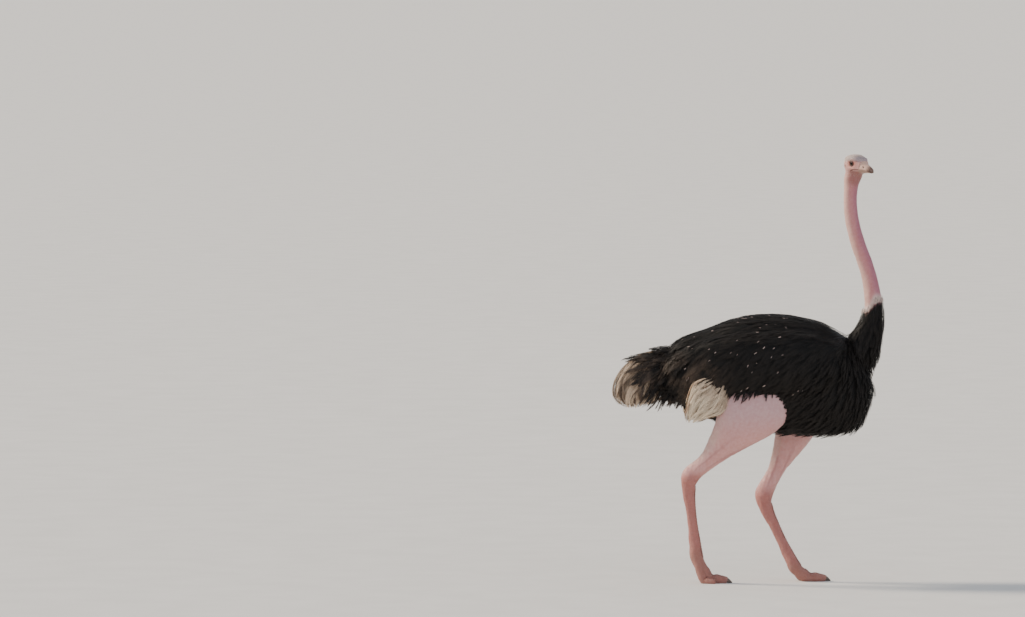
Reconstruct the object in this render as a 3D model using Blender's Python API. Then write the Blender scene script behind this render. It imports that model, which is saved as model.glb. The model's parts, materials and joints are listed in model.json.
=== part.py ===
"""A life-size male ostrich, walking, as a still museum model.

Units are metres. +X is the way the bird walks, +Y is its left and +Z is up. The floor is z = 0 and the
origin lies under the middle of the model. Every sub-part is one closed body, 0.3 mm from its neighbours.
"""

import math

import bmesh
import bpy
from mathutils import Euler, Matrix, Vector

# Driving dimensions
BACK_HEIGHT = 1.508  # crest of the back, plumage included
BELLY_HEIGHT = 0.832  # lowest line of the belly plumage
BREAST_X = 0.716  # foremost point of the breast
RUMP_X = -0.462  # hindmost point of the trunk, under the tail plumes
HEAD_CENTRE = Vector((0.612, -0.036, 2.358))  # midway between the eyes
HEAD_TURN = math.radians(-50)  # yaw of the head, towards the bird's right
HEAD_DIP = math.radians(9)  # how far the bill points below level
BILL_TIP = 0.132  # from the eyes' axis to the tip of the bill
EYE_RADIUS = 0.0235
EYE_OFFSET = 0.0272  # each eye's centre from the middle of the head
BIG_TOE_LENGTH = 0.185
SMALL_TOE_LENGTH = 0.115
TOE_SPREAD = math.radians(24)  # angle of the small toe to the big one
TOE_OUT = math.radians(2)  # how far the big toes point outwards
GAP = 0.0003  # clearance between neighbouring solids

# Sides of the rings of each kind of body
TRUNK_SIDES = 24
PLUME_SIDES = 18
SKULL_SIDES = 18
LIMB_SIDES = 14
BILL_SIDES = 14
TOE_SIDES = 12

# Colour, roughness and metallic value of each finish
FINISHES = {
    "black_plume": ((0.012, 0.011, 0.011), 0.75, 0.0),
    "white_plume": ((0.72, 0.66, 0.57), 0.85, 0.0),
    "tail_plume": ((0.40, 0.32, 0.25), 0.85, 0.0),
    "pink_skin": ((0.62, 0.36, 0.34), 0.55, 0.0),
    "crown_down": ((0.60, 0.54, 0.50), 0.85, 0.0),
    "leg_skin": ((0.58, 0.38, 0.35), 0.55, 0.0),
    "shank_scute": ((0.60, 0.30, 0.26), 0.45, 0.0),
    "bill_horn": ((0.60, 0.33, 0.25), 0.40, 0.0),
    "claw_horn": ((0.16, 0.12, 0.10), 0.35, 0.0),
    "eye": ((0.06, 0.03, 0.02), 0.08, 0.0),
}


def clear_scene():
    """Removes whatever the scene holds."""
    for obj in list(bpy.data.objects):
        bpy.data.objects.remove(obj, do_unlink=True)


def finish(name):
    """The Principled material of one finish, made once."""
    material = bpy.data.materials.get(name)
    if material:
        return material
    colour, roughness, metallic = FINISHES[name]
    material = bpy.data.materials.new(name)
    material.use_nodes = True
    shader = material.node_tree.nodes["Principled BSDF"]
    shader.inputs["Base Color"].default_value = (*colour, 1.0)
    shader.inputs["Roughness"].default_value = roughness
    shader.inputs["Metallic"].default_value = metallic
    return material


def smooth_row(rows, t):
    """The row at t, from 0 to 1, on a Catmull-Rom curve through rows of numbers."""
    place = min(max(t, 0.0), 1.0) * (len(rows) - 1)
    i = min(int(place), len(rows) - 2)
    u = place - i
    p1, p2 = rows[i], rows[i + 1]
    p0 = rows[i - 1] if i > 0 else [2 * a - b for a, b in zip(p1, p2)]
    p3 = rows[i + 2] if i + 2 < len(rows) else [2 * b - a for a, b in zip(p1, p2)]
    found = []
    for a, b, c, d in zip(p0, p1, p2, p3):
        found.append(
            0.5 * (2 * b + (c - a) * u + (2 * a - 5 * b + 4 * c - d) * u * u
                   + (3 * b - a - 3 * c + d) * u ** 3)
        )
    return found


def along(points, x):
    """The height of a profile at x. Its points are (x, height), in rising x, joined by a smooth curve."""
    i = 0
    while i < len(points) - 2 and points[i + 1][0] < x:
        i += 1
    (x0, y0), (x1, y1) = points[i], points[i + 1]

    def slope(j):
        lo, hi = max(j - 1, 0), min(j + 1, len(points) - 1)
        return (points[hi][1] - points[lo][1]) / (points[hi][0] - points[lo][0])

    width = x1 - x0
    u = min(max((x - x0) / width, 0.0), 1.0)
    h00 = 2 * u ** 3 - 3 * u ** 2 + 1
    h10 = u ** 3 - 2 * u ** 2 + u
    return h00 * y0 + h10 * width * slope(i) + (1 - h00) * y1 + (u ** 3 - u ** 2) * width * slope(i + 1)


def rounded(angle, power):
    """(cosine, sine) of a point on a superellipse of unit size. A power of 2 is a circle."""
    c, s = math.cos(angle), math.sin(angle)
    return (
        math.copysign(abs(c) ** (2 / power), c),
        math.copysign(abs(s) ** (2 / power), s),
    )


def face_outwards(build):
    """Turns every face of a closed bmesh outwards."""
    bmesh.ops.recalc_face_normals(build, faces=build.faces)
    if build.calc_volume(signed=True) < 0:
        bmesh.ops.reverse_faces(build, faces=build.faces)


def body_from_rings(name, rings, material):
    """A closed body through rings of points, with a flat cap on each end."""
    mesh = bpy.data.meshes.new(name)
    build = bmesh.new()
    loops = [[build.verts.new(point) for point in ring] for ring in rings]
    sides = len(loops[0])
    for lower, upper in zip(loops, loops[1:]):
        for i in range(sides):
            j = (i + 1) % sides
            build.faces.new((lower[i], lower[j], upper[j], upper[i]))
    build.faces.new(loops[0])
    build.faces.new(loops[-1])
    bmesh.ops.triangulate(build, faces=build.faces)
    face_outwards(build)
    build.to_mesh(mesh)
    build.free()
    obj = bpy.data.objects.new(name, mesh)
    bpy.context.scene.collection.objects.link(obj)
    mesh.materials.append(finish(material))
    return obj


def limb_rings(stations, start, end, count, sides, power=2.0, trim=0.0, flute=None):
    """Rings square to a curved limb.

    Each station is (x, y, z, half depth, half width): depth lies in the limb's plane of bending, width
    across it. start and end are places on the limb, from 0 to 1. trim shortens the start, for a clearance.
    flute(t, angle) gives a factor on the ring's size, for the locks of a plume.
    """
    rings = []
    for k in range(count + 1):
        t = start + (end - start) * k / count
        x, y, z, depth, width = smooth_row(stations, t)
        before, after = smooth_row(stations, t - 0.01), smooth_row(stations, t + 0.01)
        run = (Vector(after[:3]) - Vector(before[:3])).normalized()
        across = Vector((0, 1, 0)) - run * run.y
        across.normalize()
        deep = across.cross(run)
        centre = Vector((x, y, z))
        if k == 0:
            centre += run * trim
        ring = []
        for i in range(sides):
            angle = 2 * math.pi * i / sides
            c, s = rounded(angle, power)
            size = flute(t, angle) if flute else 1.0
            ring.append(centre + (deep * depth * c + across * width * s) * size)
        rings.append(ring)
    return rings


def islands(build):
    """The connected pieces of a bmesh, each a list of its vertices."""
    left = set(build.verts)
    found = []
    while left:
        edge, piece = [left.pop()], []
        while edge:
            vert = edge.pop()
            piece.append(vert)
            for link in vert.link_edges:
                other = link.other_vert(vert)
                if other in left:
                    left.remove(other)
                    edge.append(other)
        found.append(piece)
    return found


UNCUT = {}  # the whole shape of each body that has been cut, by its name


def drop_flaps(build):
    """Removes pairs of faces that lie back to back on the same three corners."""
    seen = {}
    flaps = []
    for face in build.faces:
        corners = frozenset(vert.index for vert in face.verts)
        if corners in seen:
            flaps += [face, seen.pop(corners)]
        else:
            seen[corners] = face
    bmesh.ops.delete(build, geom=flaps, context="FACES")
    loose = [vert for vert in build.verts if not vert.link_faces]
    bmesh.ops.delete(build, geom=loose, context="VERTS")


def cut(obj, *neighbours):
    """Cuts obj back to GAP from each neighbour, and keeps its largest piece.

    A neighbour that was itself cut takes part whole, so that no crack is left where three bodies meet.
    """
    UNCUT.setdefault(obj.name, obj.data.copy())
    for neighbour in neighbours:
        cutter = neighbour.copy()
        cutter.data = UNCUT.get(neighbour.name, neighbour.data).copy()
        cutter.hide_render = True
        cutter.display_type = "WIRE"
        bpy.context.scene.collection.objects.link(cutter)
        normals = [vert.normal.copy() for vert in cutter.data.vertices]
        for vert, normal in zip(cutter.data.vertices, normals):
            vert.co += normal * GAP
        boolean = obj.modifiers.new("clearance", "BOOLEAN")
        boolean.operation = "DIFFERENCE"
        boolean.solver = "EXACT"
        boolean.object = cutter
        apply_modifiers(obj)
        bpy.data.objects.remove(cutter, do_unlink=True)
    build = bmesh.new()
    build.from_mesh(obj.data)
    pieces = sorted(islands(build), key=len)
    for piece in pieces[:-1]:
        bmesh.ops.delete(build, geom=piece, context="VERTS")
    bmesh.ops.triangulate(build, faces=build.faces)
    drop_flaps(build)
    face_outwards(build)
    build.to_mesh(obj.data)
    build.free()
    return obj


def apply_modifiers(obj):
    """Bakes an object's modifiers into its mesh."""
    graph = bpy.context.evaluated_depsgraph_get()
    mesh = bpy.data.meshes.new_from_object(obj.evaluated_get(graph))
    obj.modifiers.clear()
    old = obj.data
    obj.data = mesh
    bpy.data.meshes.remove(old)


# Trunk ------------------------------------------------------------------------------------------------

TRUNK_TOP = [
    (RUMP_X, 1.20), (-0.425, 1.325), (-0.36, 1.382), (-0.24, 1.430), (-0.06, 1.488),
    (0.13, BACK_HEIGHT), (0.32, 1.488), (0.45, 1.456), (0.56, 1.380), (0.65, 1.280), (BREAST_X, 1.12),
]
TRUNK_FOOT = [
    (RUMP_X, 1.16), (-0.43, 1.080), (-0.34, 1.000), (-0.18, 0.918), (0.05, 0.858),
    (0.28, 0.838), (0.46, BELLY_HEIGHT), (0.58, 0.848), (0.66, 0.905), (BREAST_X, 1.06),
]
TRUNK_WIDTH = [
    (RUMP_X, 0.035), (-0.42, 0.115), (-0.32, 0.165), (-0.15, 0.212), (0.08, 0.240),
    (0.30, 0.240), (0.47, 0.208), (0.60, 0.158), (0.68, 0.100), (BREAST_X, 0.030),
]
TRUNK_RINGS = 20
TRUNK_POWER = 2.25  # a little squarer than an ellipse
FULLEST = 0.54  # level of the greatest width, as a share of the height
CROWDING = 0.55  # how much the trunk's rings crowd towards its ends


def trunk_ring(x):
    """The trunk's slice at x: egg-shaped, fullest a little above half its height."""
    top, foot, width = along(TRUNK_TOP, x), along(TRUNK_FOOT, x), along(TRUNK_WIDTH, x)
    middle = foot + FULLEST * (top - foot)
    ring = []
    for i in range(TRUNK_SIDES):
        c, s = rounded(2 * math.pi * i / TRUNK_SIDES, TRUNK_POWER)
        rise = top - middle if s > 0 else middle - foot
        ring.append(Vector((x, width * c, middle + rise * s)))
    return ring


def make_trunk():
    """The trunk, plumage included, from the rump to the breast."""
    rings = []
    for k in range(TRUNK_RINGS + 1):
        even = k / TRUNK_RINGS
        crowded = 0.5 - 0.5 * math.cos(math.pi * even)
        share = even + CROWDING * (crowded - even)
        rings.append(trunk_ring(RUMP_X + (BREAST_X - RUMP_X) * share))
    return body_from_rings("trunk", rings, "black_plume")


# Wings and plumes -------------------------------------------------------------------------------------

WING_STATIONS = [
    # x, distance from the middle, z, half height, half thickness
    (0.560, 0.118, 1.215, 0.050, 0.030),
    (0.510, 0.130, 1.215, 0.135, 0.078),
    (0.380, 0.150, 1.225, 0.188, 0.114),
    (0.200, 0.160, 1.232, 0.200, 0.130),
    (0.010, 0.154, 1.228, 0.196, 0.128),
    (-0.170, 0.134, 1.210, 0.192, 0.114),
    (-0.310, 0.108, 1.178, 0.168, 0.090),
    (-0.405, 0.094, 1.128, 0.105, 0.058),
    (-0.450, 0.088, 1.085, 0.030, 0.018),
]
WHITE_STATIONS = [
    # x, distance from the middle, z, half depth, half thickness
    (-0.140, 0.200, 1.168, 0.044, 0.020),
    (-0.178, 0.208, 1.114, 0.096, 0.042),
    (-0.222, 0.206, 1.054, 0.122, 0.048),
    (-0.268, 0.197, 0.996, 0.100, 0.040),
    (-0.308, 0.186, 0.945, 0.060, 0.025),
    (-0.332, 0.178, 0.910, 0.018, 0.008),
]
TAIL_STATIONS = [
    # x, y, z, half depth, half width
    (-0.390, 0.0, 1.228, 0.096, 0.085),
    (-0.460, 0.0, 1.212, 0.112, 0.105),
    (-0.538, 0.0, 1.180, 0.134, 0.125),
    (-0.600, 0.0, 1.128, 0.148, 0.140),
    (-0.628, 0.0, 1.072, 0.144, 0.140),
    (-0.636, 0.0, 1.020, 0.112, 0.114),
    (-0.636, 0.0, 0.985, 0.052, 0.054),
]


def plume_flutes(locks, depth):
    """A ring factor that parts a plume into soft locks, deeper towards its tip."""
    def factor(t, angle):
        return 1.0 - depth * t * (0.5 + 0.5 * math.cos(locks * angle))
    return factor


def mirrored(stations, side):
    """Stations given for a distance from the middle, on one side: 1 is left and -1 is right."""
    return [(x, y * side, z, deep, wide) for x, y, z, deep, wide in stations]


def make_wing(side, word, trunk):
    """A folded wing with its coverts: a long shell on the flank, over the top of the thigh."""
    stations = mirrored(WING_STATIONS, side)
    rings = limb_rings(stations, 0, 1, 11, PLUME_SIDES, 2.3, flute=plume_flutes(5, 0.05))
    return cut(body_from_rings("wing_" + word, rings, "black_plume"), trunk)


def make_wing_plumes(side, word, *neighbours):
    """The white plumes that hang behind the wing."""
    stations = mirrored(WHITE_STATIONS, side)
    rings = limb_rings(stations, 0, 1, 9, PLUME_SIDES, flute=plume_flutes(6, 0.22))
    return cut(body_from_rings("wing_plumes_" + word, rings, "white_plume"), *neighbours)


def make_tail(*neighbours):
    """The drooping tuft of tail plumes."""
    rings = limb_rings(TAIL_STATIONS, 0, 1, 10, PLUME_SIDES, 2.1, flute=plume_flutes(6, 0.14))
    return cut(body_from_rings("tail", rings, "tail_plume"), *neighbours)


# Neck -------------------------------------------------------------------------------------------------

NECK_STATIONS = [
    # x, y, z, half depth, half width, from the breast to the skull
    (0.590, 0.000, 1.225, 0.104, 0.102),
    (0.642, 0.000, 1.322, 0.098, 0.088),
    (0.685, 0.000, 1.418, 0.078, 0.070),
    (0.704, 0.000, 1.510, 0.060, 0.056),
    (0.701, 0.000, 1.608, 0.048, 0.046),
    (0.684, 0.000, 1.708, 0.043, 0.041),
    (0.655, 0.000, 1.806, 0.041, 0.038),
    (0.622, 0.000, 1.898, 0.040, 0.036),
    (0.596, 0.000, 1.985, 0.039, 0.035),
    (0.579, 0.000, 2.075, 0.038, 0.034),
    (0.574, 0.000, 2.160, 0.037, 0.034),
    (0.579, -0.002, 2.232, 0.040, 0.037),
    (0.590, -0.010, 2.288, 0.049, 0.043),
    (0.598, -0.018, 2.335, 0.040, 0.036),
]
COLLAR_PLACE = 0.305  # where the black plumage of the neck ends
MIDDLE_PLACE = 0.640  # where the two bare lengths of the neck meet


def make_neck(trunk, head, bill_lower):
    """The neck in three lengths: the feathered base, and two bare ones."""
    spans = (
        ("neck_base", 0.0, COLLAR_PLACE, 9, "black_plume"),
        ("neck_lower", COLLAR_PLACE, MIDDLE_PLACE, 9, "pink_skin"),
        ("neck_upper", MIDDLE_PLACE, 1.0, 10, "pink_skin"),
    )
    made = []
    for name, start, end, count, material in spans:
        trim = GAP if start else 0.0
        rings = limb_rings(NECK_STATIONS, start, end, count, LIMB_SIDES, trim=trim)
        made.append(body_from_rings(name, rings, material))
    cut(made[0], trunk)
    cut(made[2], head, bill_lower)
    return made


# Head -------------------------------------------------------------------------------------------------
# In the head's own frame: the origin midway between the eyes, +X towards the bill, +Z to the crown.

BILL_ROOT = 0.050  # plane between the skull and the bill
SKULL_POWER = 2.7  # flat-crowned, with full cheeks
BILL_POWER = 2.2
ORBIT_DEPTH = 0.25  # shares of the skull's half width, where each is strongest
BROW_SWELL = 0.06
JAW_WAIST = 0.12
SKULL_STATIONS = [
    # x, top, underside, half width
    (-0.080, 0.010, -0.026, 0.014),
    (-0.073, 0.027, -0.044, 0.033),
    (-0.055, 0.042, -0.057, 0.045),
    (-0.028, 0.051, -0.062, 0.052),
    (0.000, 0.053, -0.060, 0.055),
    (0.020, 0.048, -0.056, 0.051),
    (0.036, 0.038, -0.052, 0.044),
    (BILL_ROOT, 0.0275, -0.0490, 0.0385),
]
UPPER_BILL = [
    # x, top, gape line, half width
    (BILL_ROOT, 0.0250, -0.0250, 0.0365),
    (0.066, 0.0150, -0.0215, 0.0340),
    (0.084, 0.0065, -0.0205, 0.0300),
    (0.102, 0.0005, -0.0215, 0.0250),
    (0.117, -0.0050, -0.0245, 0.0190),
    (0.127, -0.0110, -0.0285, 0.0120),
    (BILL_TIP, -0.0190, -0.0300, 0.0050),
]
LOWER_BILL = [
    # x, gape line, underside, half width
    (BILL_ROOT, -0.0254, -0.0480, 0.0350),
    (0.066, -0.0219, -0.0440, 0.0318),
    (0.084, -0.0209, -0.0395, 0.0276),
    (0.102, -0.0219, -0.0362, 0.0226),
    (0.116, -0.0249, -0.0345, 0.0160),
    (0.125, -0.0292, -0.0338, 0.0080),
]


def head_frame():
    """The matrix from the head's own frame to the model's."""
    turn = Euler((0.0, HEAD_DIP, HEAD_TURN)).to_matrix().to_4x4()
    return Matrix.Translation(HEAD_CENTRE) @ turn


def head_rings(stations, count, sides, power, widest=0.5):
    """Rings square to the head's own X, through stations of (x, top, underside, half width).

    widest is the level of the greatest width: 0 at the underside, which is then flat, and 1 at the top.
    """
    rings = []
    for k in range(count + 1):
        x, top, under, width = smooth_row(stations, k / count)
        middle = under + widest * (top - under)
        ring = []
        for i in range(sides):
            c, s = rounded(2 * math.pi * i / sides, power)
            ring.append(Vector((x, width * c, middle + (top - middle if s > 0 else middle - under) * s)))
        rings.append(ring)
    return rings


def brow_and_orbit(point):
    """Sinks the orbit round the eye and draws in the jaw, and leaves the brow proud."""
    orbit = ORBIT_DEPTH * math.exp(-(point.x / 0.030) ** 2 - (point.z / 0.023) ** 2)
    brow = BROW_SWELL * math.exp(-((point.x - 0.004) / 0.040) ** 2 - ((point.z - 0.032) / 0.012) ** 2)
    jaw = JAW_WAIST * math.exp(-((point.z + 0.055) / 0.022) ** 2)
    return Vector((point.x, point.y * (1.0 - orbit + brow - jaw), point.z))


def make_eye(side, word):
    """An eyeball in its socket."""
    mesh = bpy.data.meshes.new("eye_" + word)
    build = bmesh.new()
    bmesh.ops.create_uvsphere(build, u_segments=12, v_segments=8, radius=EYE_RADIUS)
    build.to_mesh(mesh)
    build.free()
    eye = bpy.data.objects.new("eye_" + word, mesh)
    bpy.context.scene.collection.objects.link(eye)
    mesh.materials.append(finish("eye"))
    upright = Matrix.Rotation(math.radians(90), 4, "X")
    mesh.transform(head_frame() @ Matrix.Translation((0.0, side * EYE_OFFSET, 0.0)) @ upright)
    return eye


def make_head(eyes):
    """The skull with its crown of down, and the two halves of the bill."""
    skull_rings = head_rings(SKULL_STATIONS, 13, SKULL_SIDES, SKULL_POWER)
    skull_rings = [[brow_and_orbit(point) for point in ring] for ring in skull_rings]
    head = body_from_rings("head", skull_rings, "crown_down")
    upper_rings = head_rings(UPPER_BILL, 8, BILL_SIDES, BILL_POWER, widest=0.0)
    lower_rings = head_rings(LOWER_BILL, 6, BILL_SIDES, BILL_POWER, widest=1.0)
    upper = body_from_rings("bill_upper", upper_rings, "bill_horn")
    lower = body_from_rings("bill_lower", lower_rings, "bill_horn")
    for obj in (head, upper, lower):
        obj.data.transform(head_frame())
    forward = head_frame().to_3x3() @ Vector((GAP, 0.0, 0.0))
    for bill in (upper, lower):
        bill.data.transform(Matrix.Translation(forward))
    cut(head, *eyes)
    return head, upper, lower


# Legs -------------------------------------------------------------------------------------------------

RIGHT_LEG = [
    # x, distance from the middle, z, half depth, half width: hip, thigh, drumstick, hock, shank, toe root
    (0.075, 0.135, 1.140, 0.150, 0.085),
    (0.055, 0.150, 1.040, 0.192, 0.100),
    (-0.015, 0.152, 0.945, 0.172, 0.100),
    (-0.085, 0.146, 0.855, 0.122, 0.084),
    (-0.152, 0.134, 0.775, 0.080, 0.064),
    (-0.215, 0.118, 0.705, 0.054, 0.047),
    (-0.280, 0.100, 0.645, 0.045, 0.040),
    (-0.326, 0.087, 0.592, 0.047, 0.043),
    (-0.332, 0.077, 0.520, 0.034, 0.034),
    (-0.322, 0.069, 0.425, 0.026, 0.027),
    (-0.309, 0.062, 0.320, 0.025, 0.026),
    (-0.297, 0.057, 0.220, 0.031, 0.033),
    (-0.287, 0.054, 0.140, 0.036, 0.040),
]
LEFT_LEG = [
    (0.180, 0.135, 1.120, 0.150, 0.085),
    (0.268, 0.150, 1.020, 0.158, 0.098),
    (0.285, 0.152, 0.925, 0.140, 0.096),
    (0.258, 0.144, 0.820, 0.104, 0.080),
    (0.215, 0.130, 0.725, 0.070, 0.060),
    (0.172, 0.114, 0.640, 0.048, 0.046),
    (0.132, 0.098, 0.560, 0.043, 0.040),
    (0.096, 0.085, 0.480, 0.047, 0.043),
    (0.112, 0.076, 0.402, 0.034, 0.034),
    (0.152, 0.068, 0.318, 0.026, 0.027),
    (0.197, 0.061, 0.222, 0.025, 0.026),
    (0.240, 0.056, 0.134, 0.031, 0.033),
    (0.272, 0.053, 0.074, 0.036, 0.040),
]
KNEE_PLACE = 0.20  # where the thigh meets the drumstick, along the leg
HOCK_PLACE = 0.585  # where the drumstick meets the shank
LEG_POWER = 2.1  # a little squarer than an ellipse


def make_leg(stations, side, word, *neighbours):
    """Thigh, drumstick and shank: three lengths of one limb, parted at the knee and under the hock."""
    stations = mirrored(stations, side)
    spans = (
        ("thigh_", 0.0, KNEE_PLACE, 6, "leg_skin"),
        ("drumstick_", KNEE_PLACE, HOCK_PLACE, 9, "leg_skin"),
        ("shank_", HOCK_PLACE, 1.0, 10, "shank_scute"),
    )
    made = []
    for name, start, end, count, material in spans:
        trim = GAP if start else 0.0
        rings = limb_rings(stations, start, end, count, LIMB_SIDES, LEG_POWER, trim)
        made.append(body_from_rings(name + word, rings, material))
    cut(made[0], *neighbours)
    cut(made[1], *neighbours)
    return made


# Feet -------------------------------------------------------------------------------------------------

SOLE_SHARE = 0.66  # height of a toe's axis on the floor, as a share of its half depth
TOUCHDOWN = 0.40  # share of a toe's length at which it reaches the floor
TOE_END = 0.87  # place on the big toe's axis where the claw begins
TOE_POWER = 2.2
BIG_TOE = (0.034, 0.036)  # half depth and half width at its thickest
SMALL_TOE = (0.025, 0.022)
SMALL_TOE_OFFSET = 0.018  # the small toe's root, outwards from the middle of the leg
ROOT_PLACES = (0.975, 0.999)  # places on the leg that a toe starts from, inside the shank
ROOT_SIZE = 0.94  # size of a toe there, as a share of its thickest
TOE_PROFILE = [
    # share of the length, then factors on the toe's depth and width: two pads and a blunt end
    (0.12, 1.00, 1.00), (0.24, 1.00, 1.00), (0.36, 0.90, 0.98), (0.48, 0.80, 0.90), (0.61, 0.84, 0.92),
    (0.72, 0.74, 0.84), (0.82, 0.66, 0.72), (0.92, 0.52, 0.54), (1.00, 0.16, 0.18),
]
CLAW_ROOT = (0.0165, 0.0150, 0.0175)  # height of the claw's axis, half depth and half width, in the toe
CLAW_MIDDLE = (0.0140, 0.0130, 0.0150)
CLAW_FRONT = (0.0090, 0.0088, 0.0100)  # at the end of the toe
CLAW_POINT = (0.0030, 0.0026, 0.0028)
CLAW_SEAT = 0.03  # how far the claw's root lies inside the toe, along the toe's axis from 0 to 1
CLAW_REACH = 0.014  # how far the claw's point passes the end of the toe


def toe_stations(leg, offset, heading, length, size):
    """The axis of a toe that leaves the end of a leg, comes down and lies along the floor.

    Its first two stations are the leg's own, moved aside by offset.
    """
    depth, width = size
    forward = Vector((math.cos(heading), math.sin(heading), 0.0))
    level = SOLE_SHARE * depth
    stations = []
    for place in ROOT_PLACES:
        x, y, lift, _, _ = smooth_row(leg, place)
        root = Vector((x, y + offset, 0.0))
        stations.append((root.x, root.y, lift, ROOT_SIZE * depth, ROOT_SIZE * width))
    for share, deep, wide in TOE_PROFILE:
        fall = max(1.0 - share / TOUCHDOWN, 0.0) ** 1.4
        place = root + forward * length * share
        height = level * deep + (lift - level) * fall
        stations.append((place.x, place.y, height, depth * deep, width * wide))
    return stations


def on_floor(rings):
    """Presses the rings flat where they would pass through the floor."""
    return [[Vector((point.x, point.y, max(point.z, 0.0))) for point in ring] for ring in rings]


def make_foot(leg, side, word, shank):
    """The big toe with its claw, and the small outer toe, which has none."""
    leg = mirrored(leg, side)
    heading = side * TOE_OUT
    big = toe_stations(leg, 0.0, heading, BIG_TOE_LENGTH, BIG_TOE)
    outward = heading + side * TOE_SPREAD
    small = toe_stations(leg, side * SMALL_TOE_OFFSET, outward, SMALL_TOE_LENGTH, SMALL_TOE)
    toe_rings = on_floor(limb_rings(big, 0.0, TOE_END, 9, TOE_SIDES, TOE_POWER))
    toe = body_from_rings("toe_big_" + word, toe_rings, "shank_scute")
    outer_rings = on_floor(limb_rings(small, 0.0, 1.0, 8, TOE_SIDES, TOE_POWER))
    outer = body_from_rings("toe_small_" + word, outer_rings, "shank_scute")
    root, front = smooth_row(big, TOE_END - CLAW_SEAT), smooth_row(big, 1.0)
    middle = smooth_row([root, front], 0.55)
    claw_stations = [
        (root[0], root[1], *CLAW_ROOT),
        (middle[0], middle[1], *CLAW_MIDDLE),
        (front[0], front[1], *CLAW_FRONT),
        (front[0] + CLAW_REACH, front[1], *CLAW_POINT),
    ]
    claw_rings = on_floor(limb_rings(claw_stations, 0.0, 1.0, 5, TOE_SIDES))
    claw = body_from_rings("claw_" + word, claw_rings, "claw_horn")
    cut(claw, toe)
    cut(toe, shank)
    cut(outer, shank, toe)
    return [toe, claw, outer]


def shade(objects):
    """Smooth shading, with the true edges left sharp."""
    for obj in objects:
        obj.data.shade_smooth()
        obj.data.set_sharp_from_angle(angle=math.radians(40))


def centre_over_origin(objects):
    """Moves the whole model so that the middle of its box is over the origin, on the floor."""
    low = Vector((math.inf,) * 3)
    high = -low
    for obj in objects:
        for vert in obj.data.vertices:
            low = Vector(map(min, low, vert.co))
            high = Vector(map(max, high, vert.co))
    shift = Vector((-(low.x + high.x) / 2, -(low.y + high.y) / 2, -low.z))
    for obj in objects:
        obj.data.transform(Matrix.Translation(shift))


def main():
    """Builds the sub-parts in order, from the trunk outwards."""
    clear_scene()
    trunk = make_trunk()
    eyes = [make_eye(1, "left"), make_eye(-1, "right")]
    head, upper, lower = make_head(eyes)
    neck = make_neck(trunk, head, lower)
    made = [trunk, head, upper, lower, *eyes, *neck]
    wings = []
    for side, word in ((1, "left"), (-1, "right")):
        wings.append(make_wing(side, word, trunk))
    tail = make_tail(trunk, *wings)
    made += [*wings, tail]
    legs = ((LEFT_LEG, 1, "left", wings[0]), (RIGHT_LEG, -1, "right", wings[1]))
    for stations, side, word, wing in legs:
        leg = make_leg(stations, side, word, trunk, wing)
        plumes = make_wing_plumes(side, word, trunk, wing, leg[0], leg[1], tail)
        foot = make_foot(stations, side, word, leg[2])
        made += [*leg, plumes, *foot]
    centre_over_origin(made)
    shade(made)


if __name__ == "__main__":
    main()
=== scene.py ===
"""The finished look of a life-size male ostrich: its skin, eyes, bill, claws, scutes and plumage.

Units are metres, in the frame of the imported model: +X is the way the bird walks, +Y its left, +Z up.
"""

import json
import logging
import math
from dataclasses import dataclass, field
from enum import Enum
from typing import Callable, Optional, Sequence

import bmesh
import bpy
import numpy as np
from bpy.types import Collection, Material, Mesh, Node, NodeSocket, Object
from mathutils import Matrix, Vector
from mathutils.bvhtree import BVHTree
from mathutils.kdtree import KDTree

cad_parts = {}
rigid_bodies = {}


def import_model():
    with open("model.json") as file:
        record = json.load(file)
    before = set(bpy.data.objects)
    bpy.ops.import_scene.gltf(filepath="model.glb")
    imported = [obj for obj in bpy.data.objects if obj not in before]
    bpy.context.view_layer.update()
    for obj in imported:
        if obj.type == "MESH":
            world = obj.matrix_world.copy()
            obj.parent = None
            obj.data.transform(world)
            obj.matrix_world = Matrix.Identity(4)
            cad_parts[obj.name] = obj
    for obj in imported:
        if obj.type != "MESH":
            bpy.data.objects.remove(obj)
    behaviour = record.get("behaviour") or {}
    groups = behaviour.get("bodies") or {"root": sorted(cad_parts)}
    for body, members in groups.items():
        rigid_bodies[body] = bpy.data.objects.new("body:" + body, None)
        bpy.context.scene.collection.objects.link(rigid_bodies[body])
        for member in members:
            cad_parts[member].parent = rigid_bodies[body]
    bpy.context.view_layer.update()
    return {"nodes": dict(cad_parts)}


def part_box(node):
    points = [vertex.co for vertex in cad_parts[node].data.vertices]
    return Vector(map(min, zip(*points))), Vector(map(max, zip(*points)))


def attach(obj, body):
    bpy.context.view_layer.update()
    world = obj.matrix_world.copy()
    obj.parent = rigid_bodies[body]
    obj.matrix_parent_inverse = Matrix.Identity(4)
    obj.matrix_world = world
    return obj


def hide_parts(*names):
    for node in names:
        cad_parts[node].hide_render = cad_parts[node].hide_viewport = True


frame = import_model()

LOG = logging.getLogger("ostrich")
BODY = "root"  # the one body of a still model
SIDES = ((1, "left"), (-1, "right"))
TURN = 2.0 * math.pi
MAP_SHARE = 0.003  # a plume's size on the map that its finish is baked to
FINE = 600  # stations in a finely read line
SKULL_STATIONS = 400  # stations in the skull's outline where distances to it are read
BED_COLUMNS = 64  # points round a bed that plumage grows from
GOLDEN = 0.61803  # share of a turn from one hanging plume to the next

Pair = tuple[float, float]
Triple = tuple[float, float, float]
Rows = Sequence[Sequence[float]]
Array = np.ndarray


# Small sums


def bell(value: Array, middle: float, spread: float) -> Array:
    """A smooth hump of height 1 at middle."""
    return np.exp(-(((value - middle) / spread) ** 2))


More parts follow.
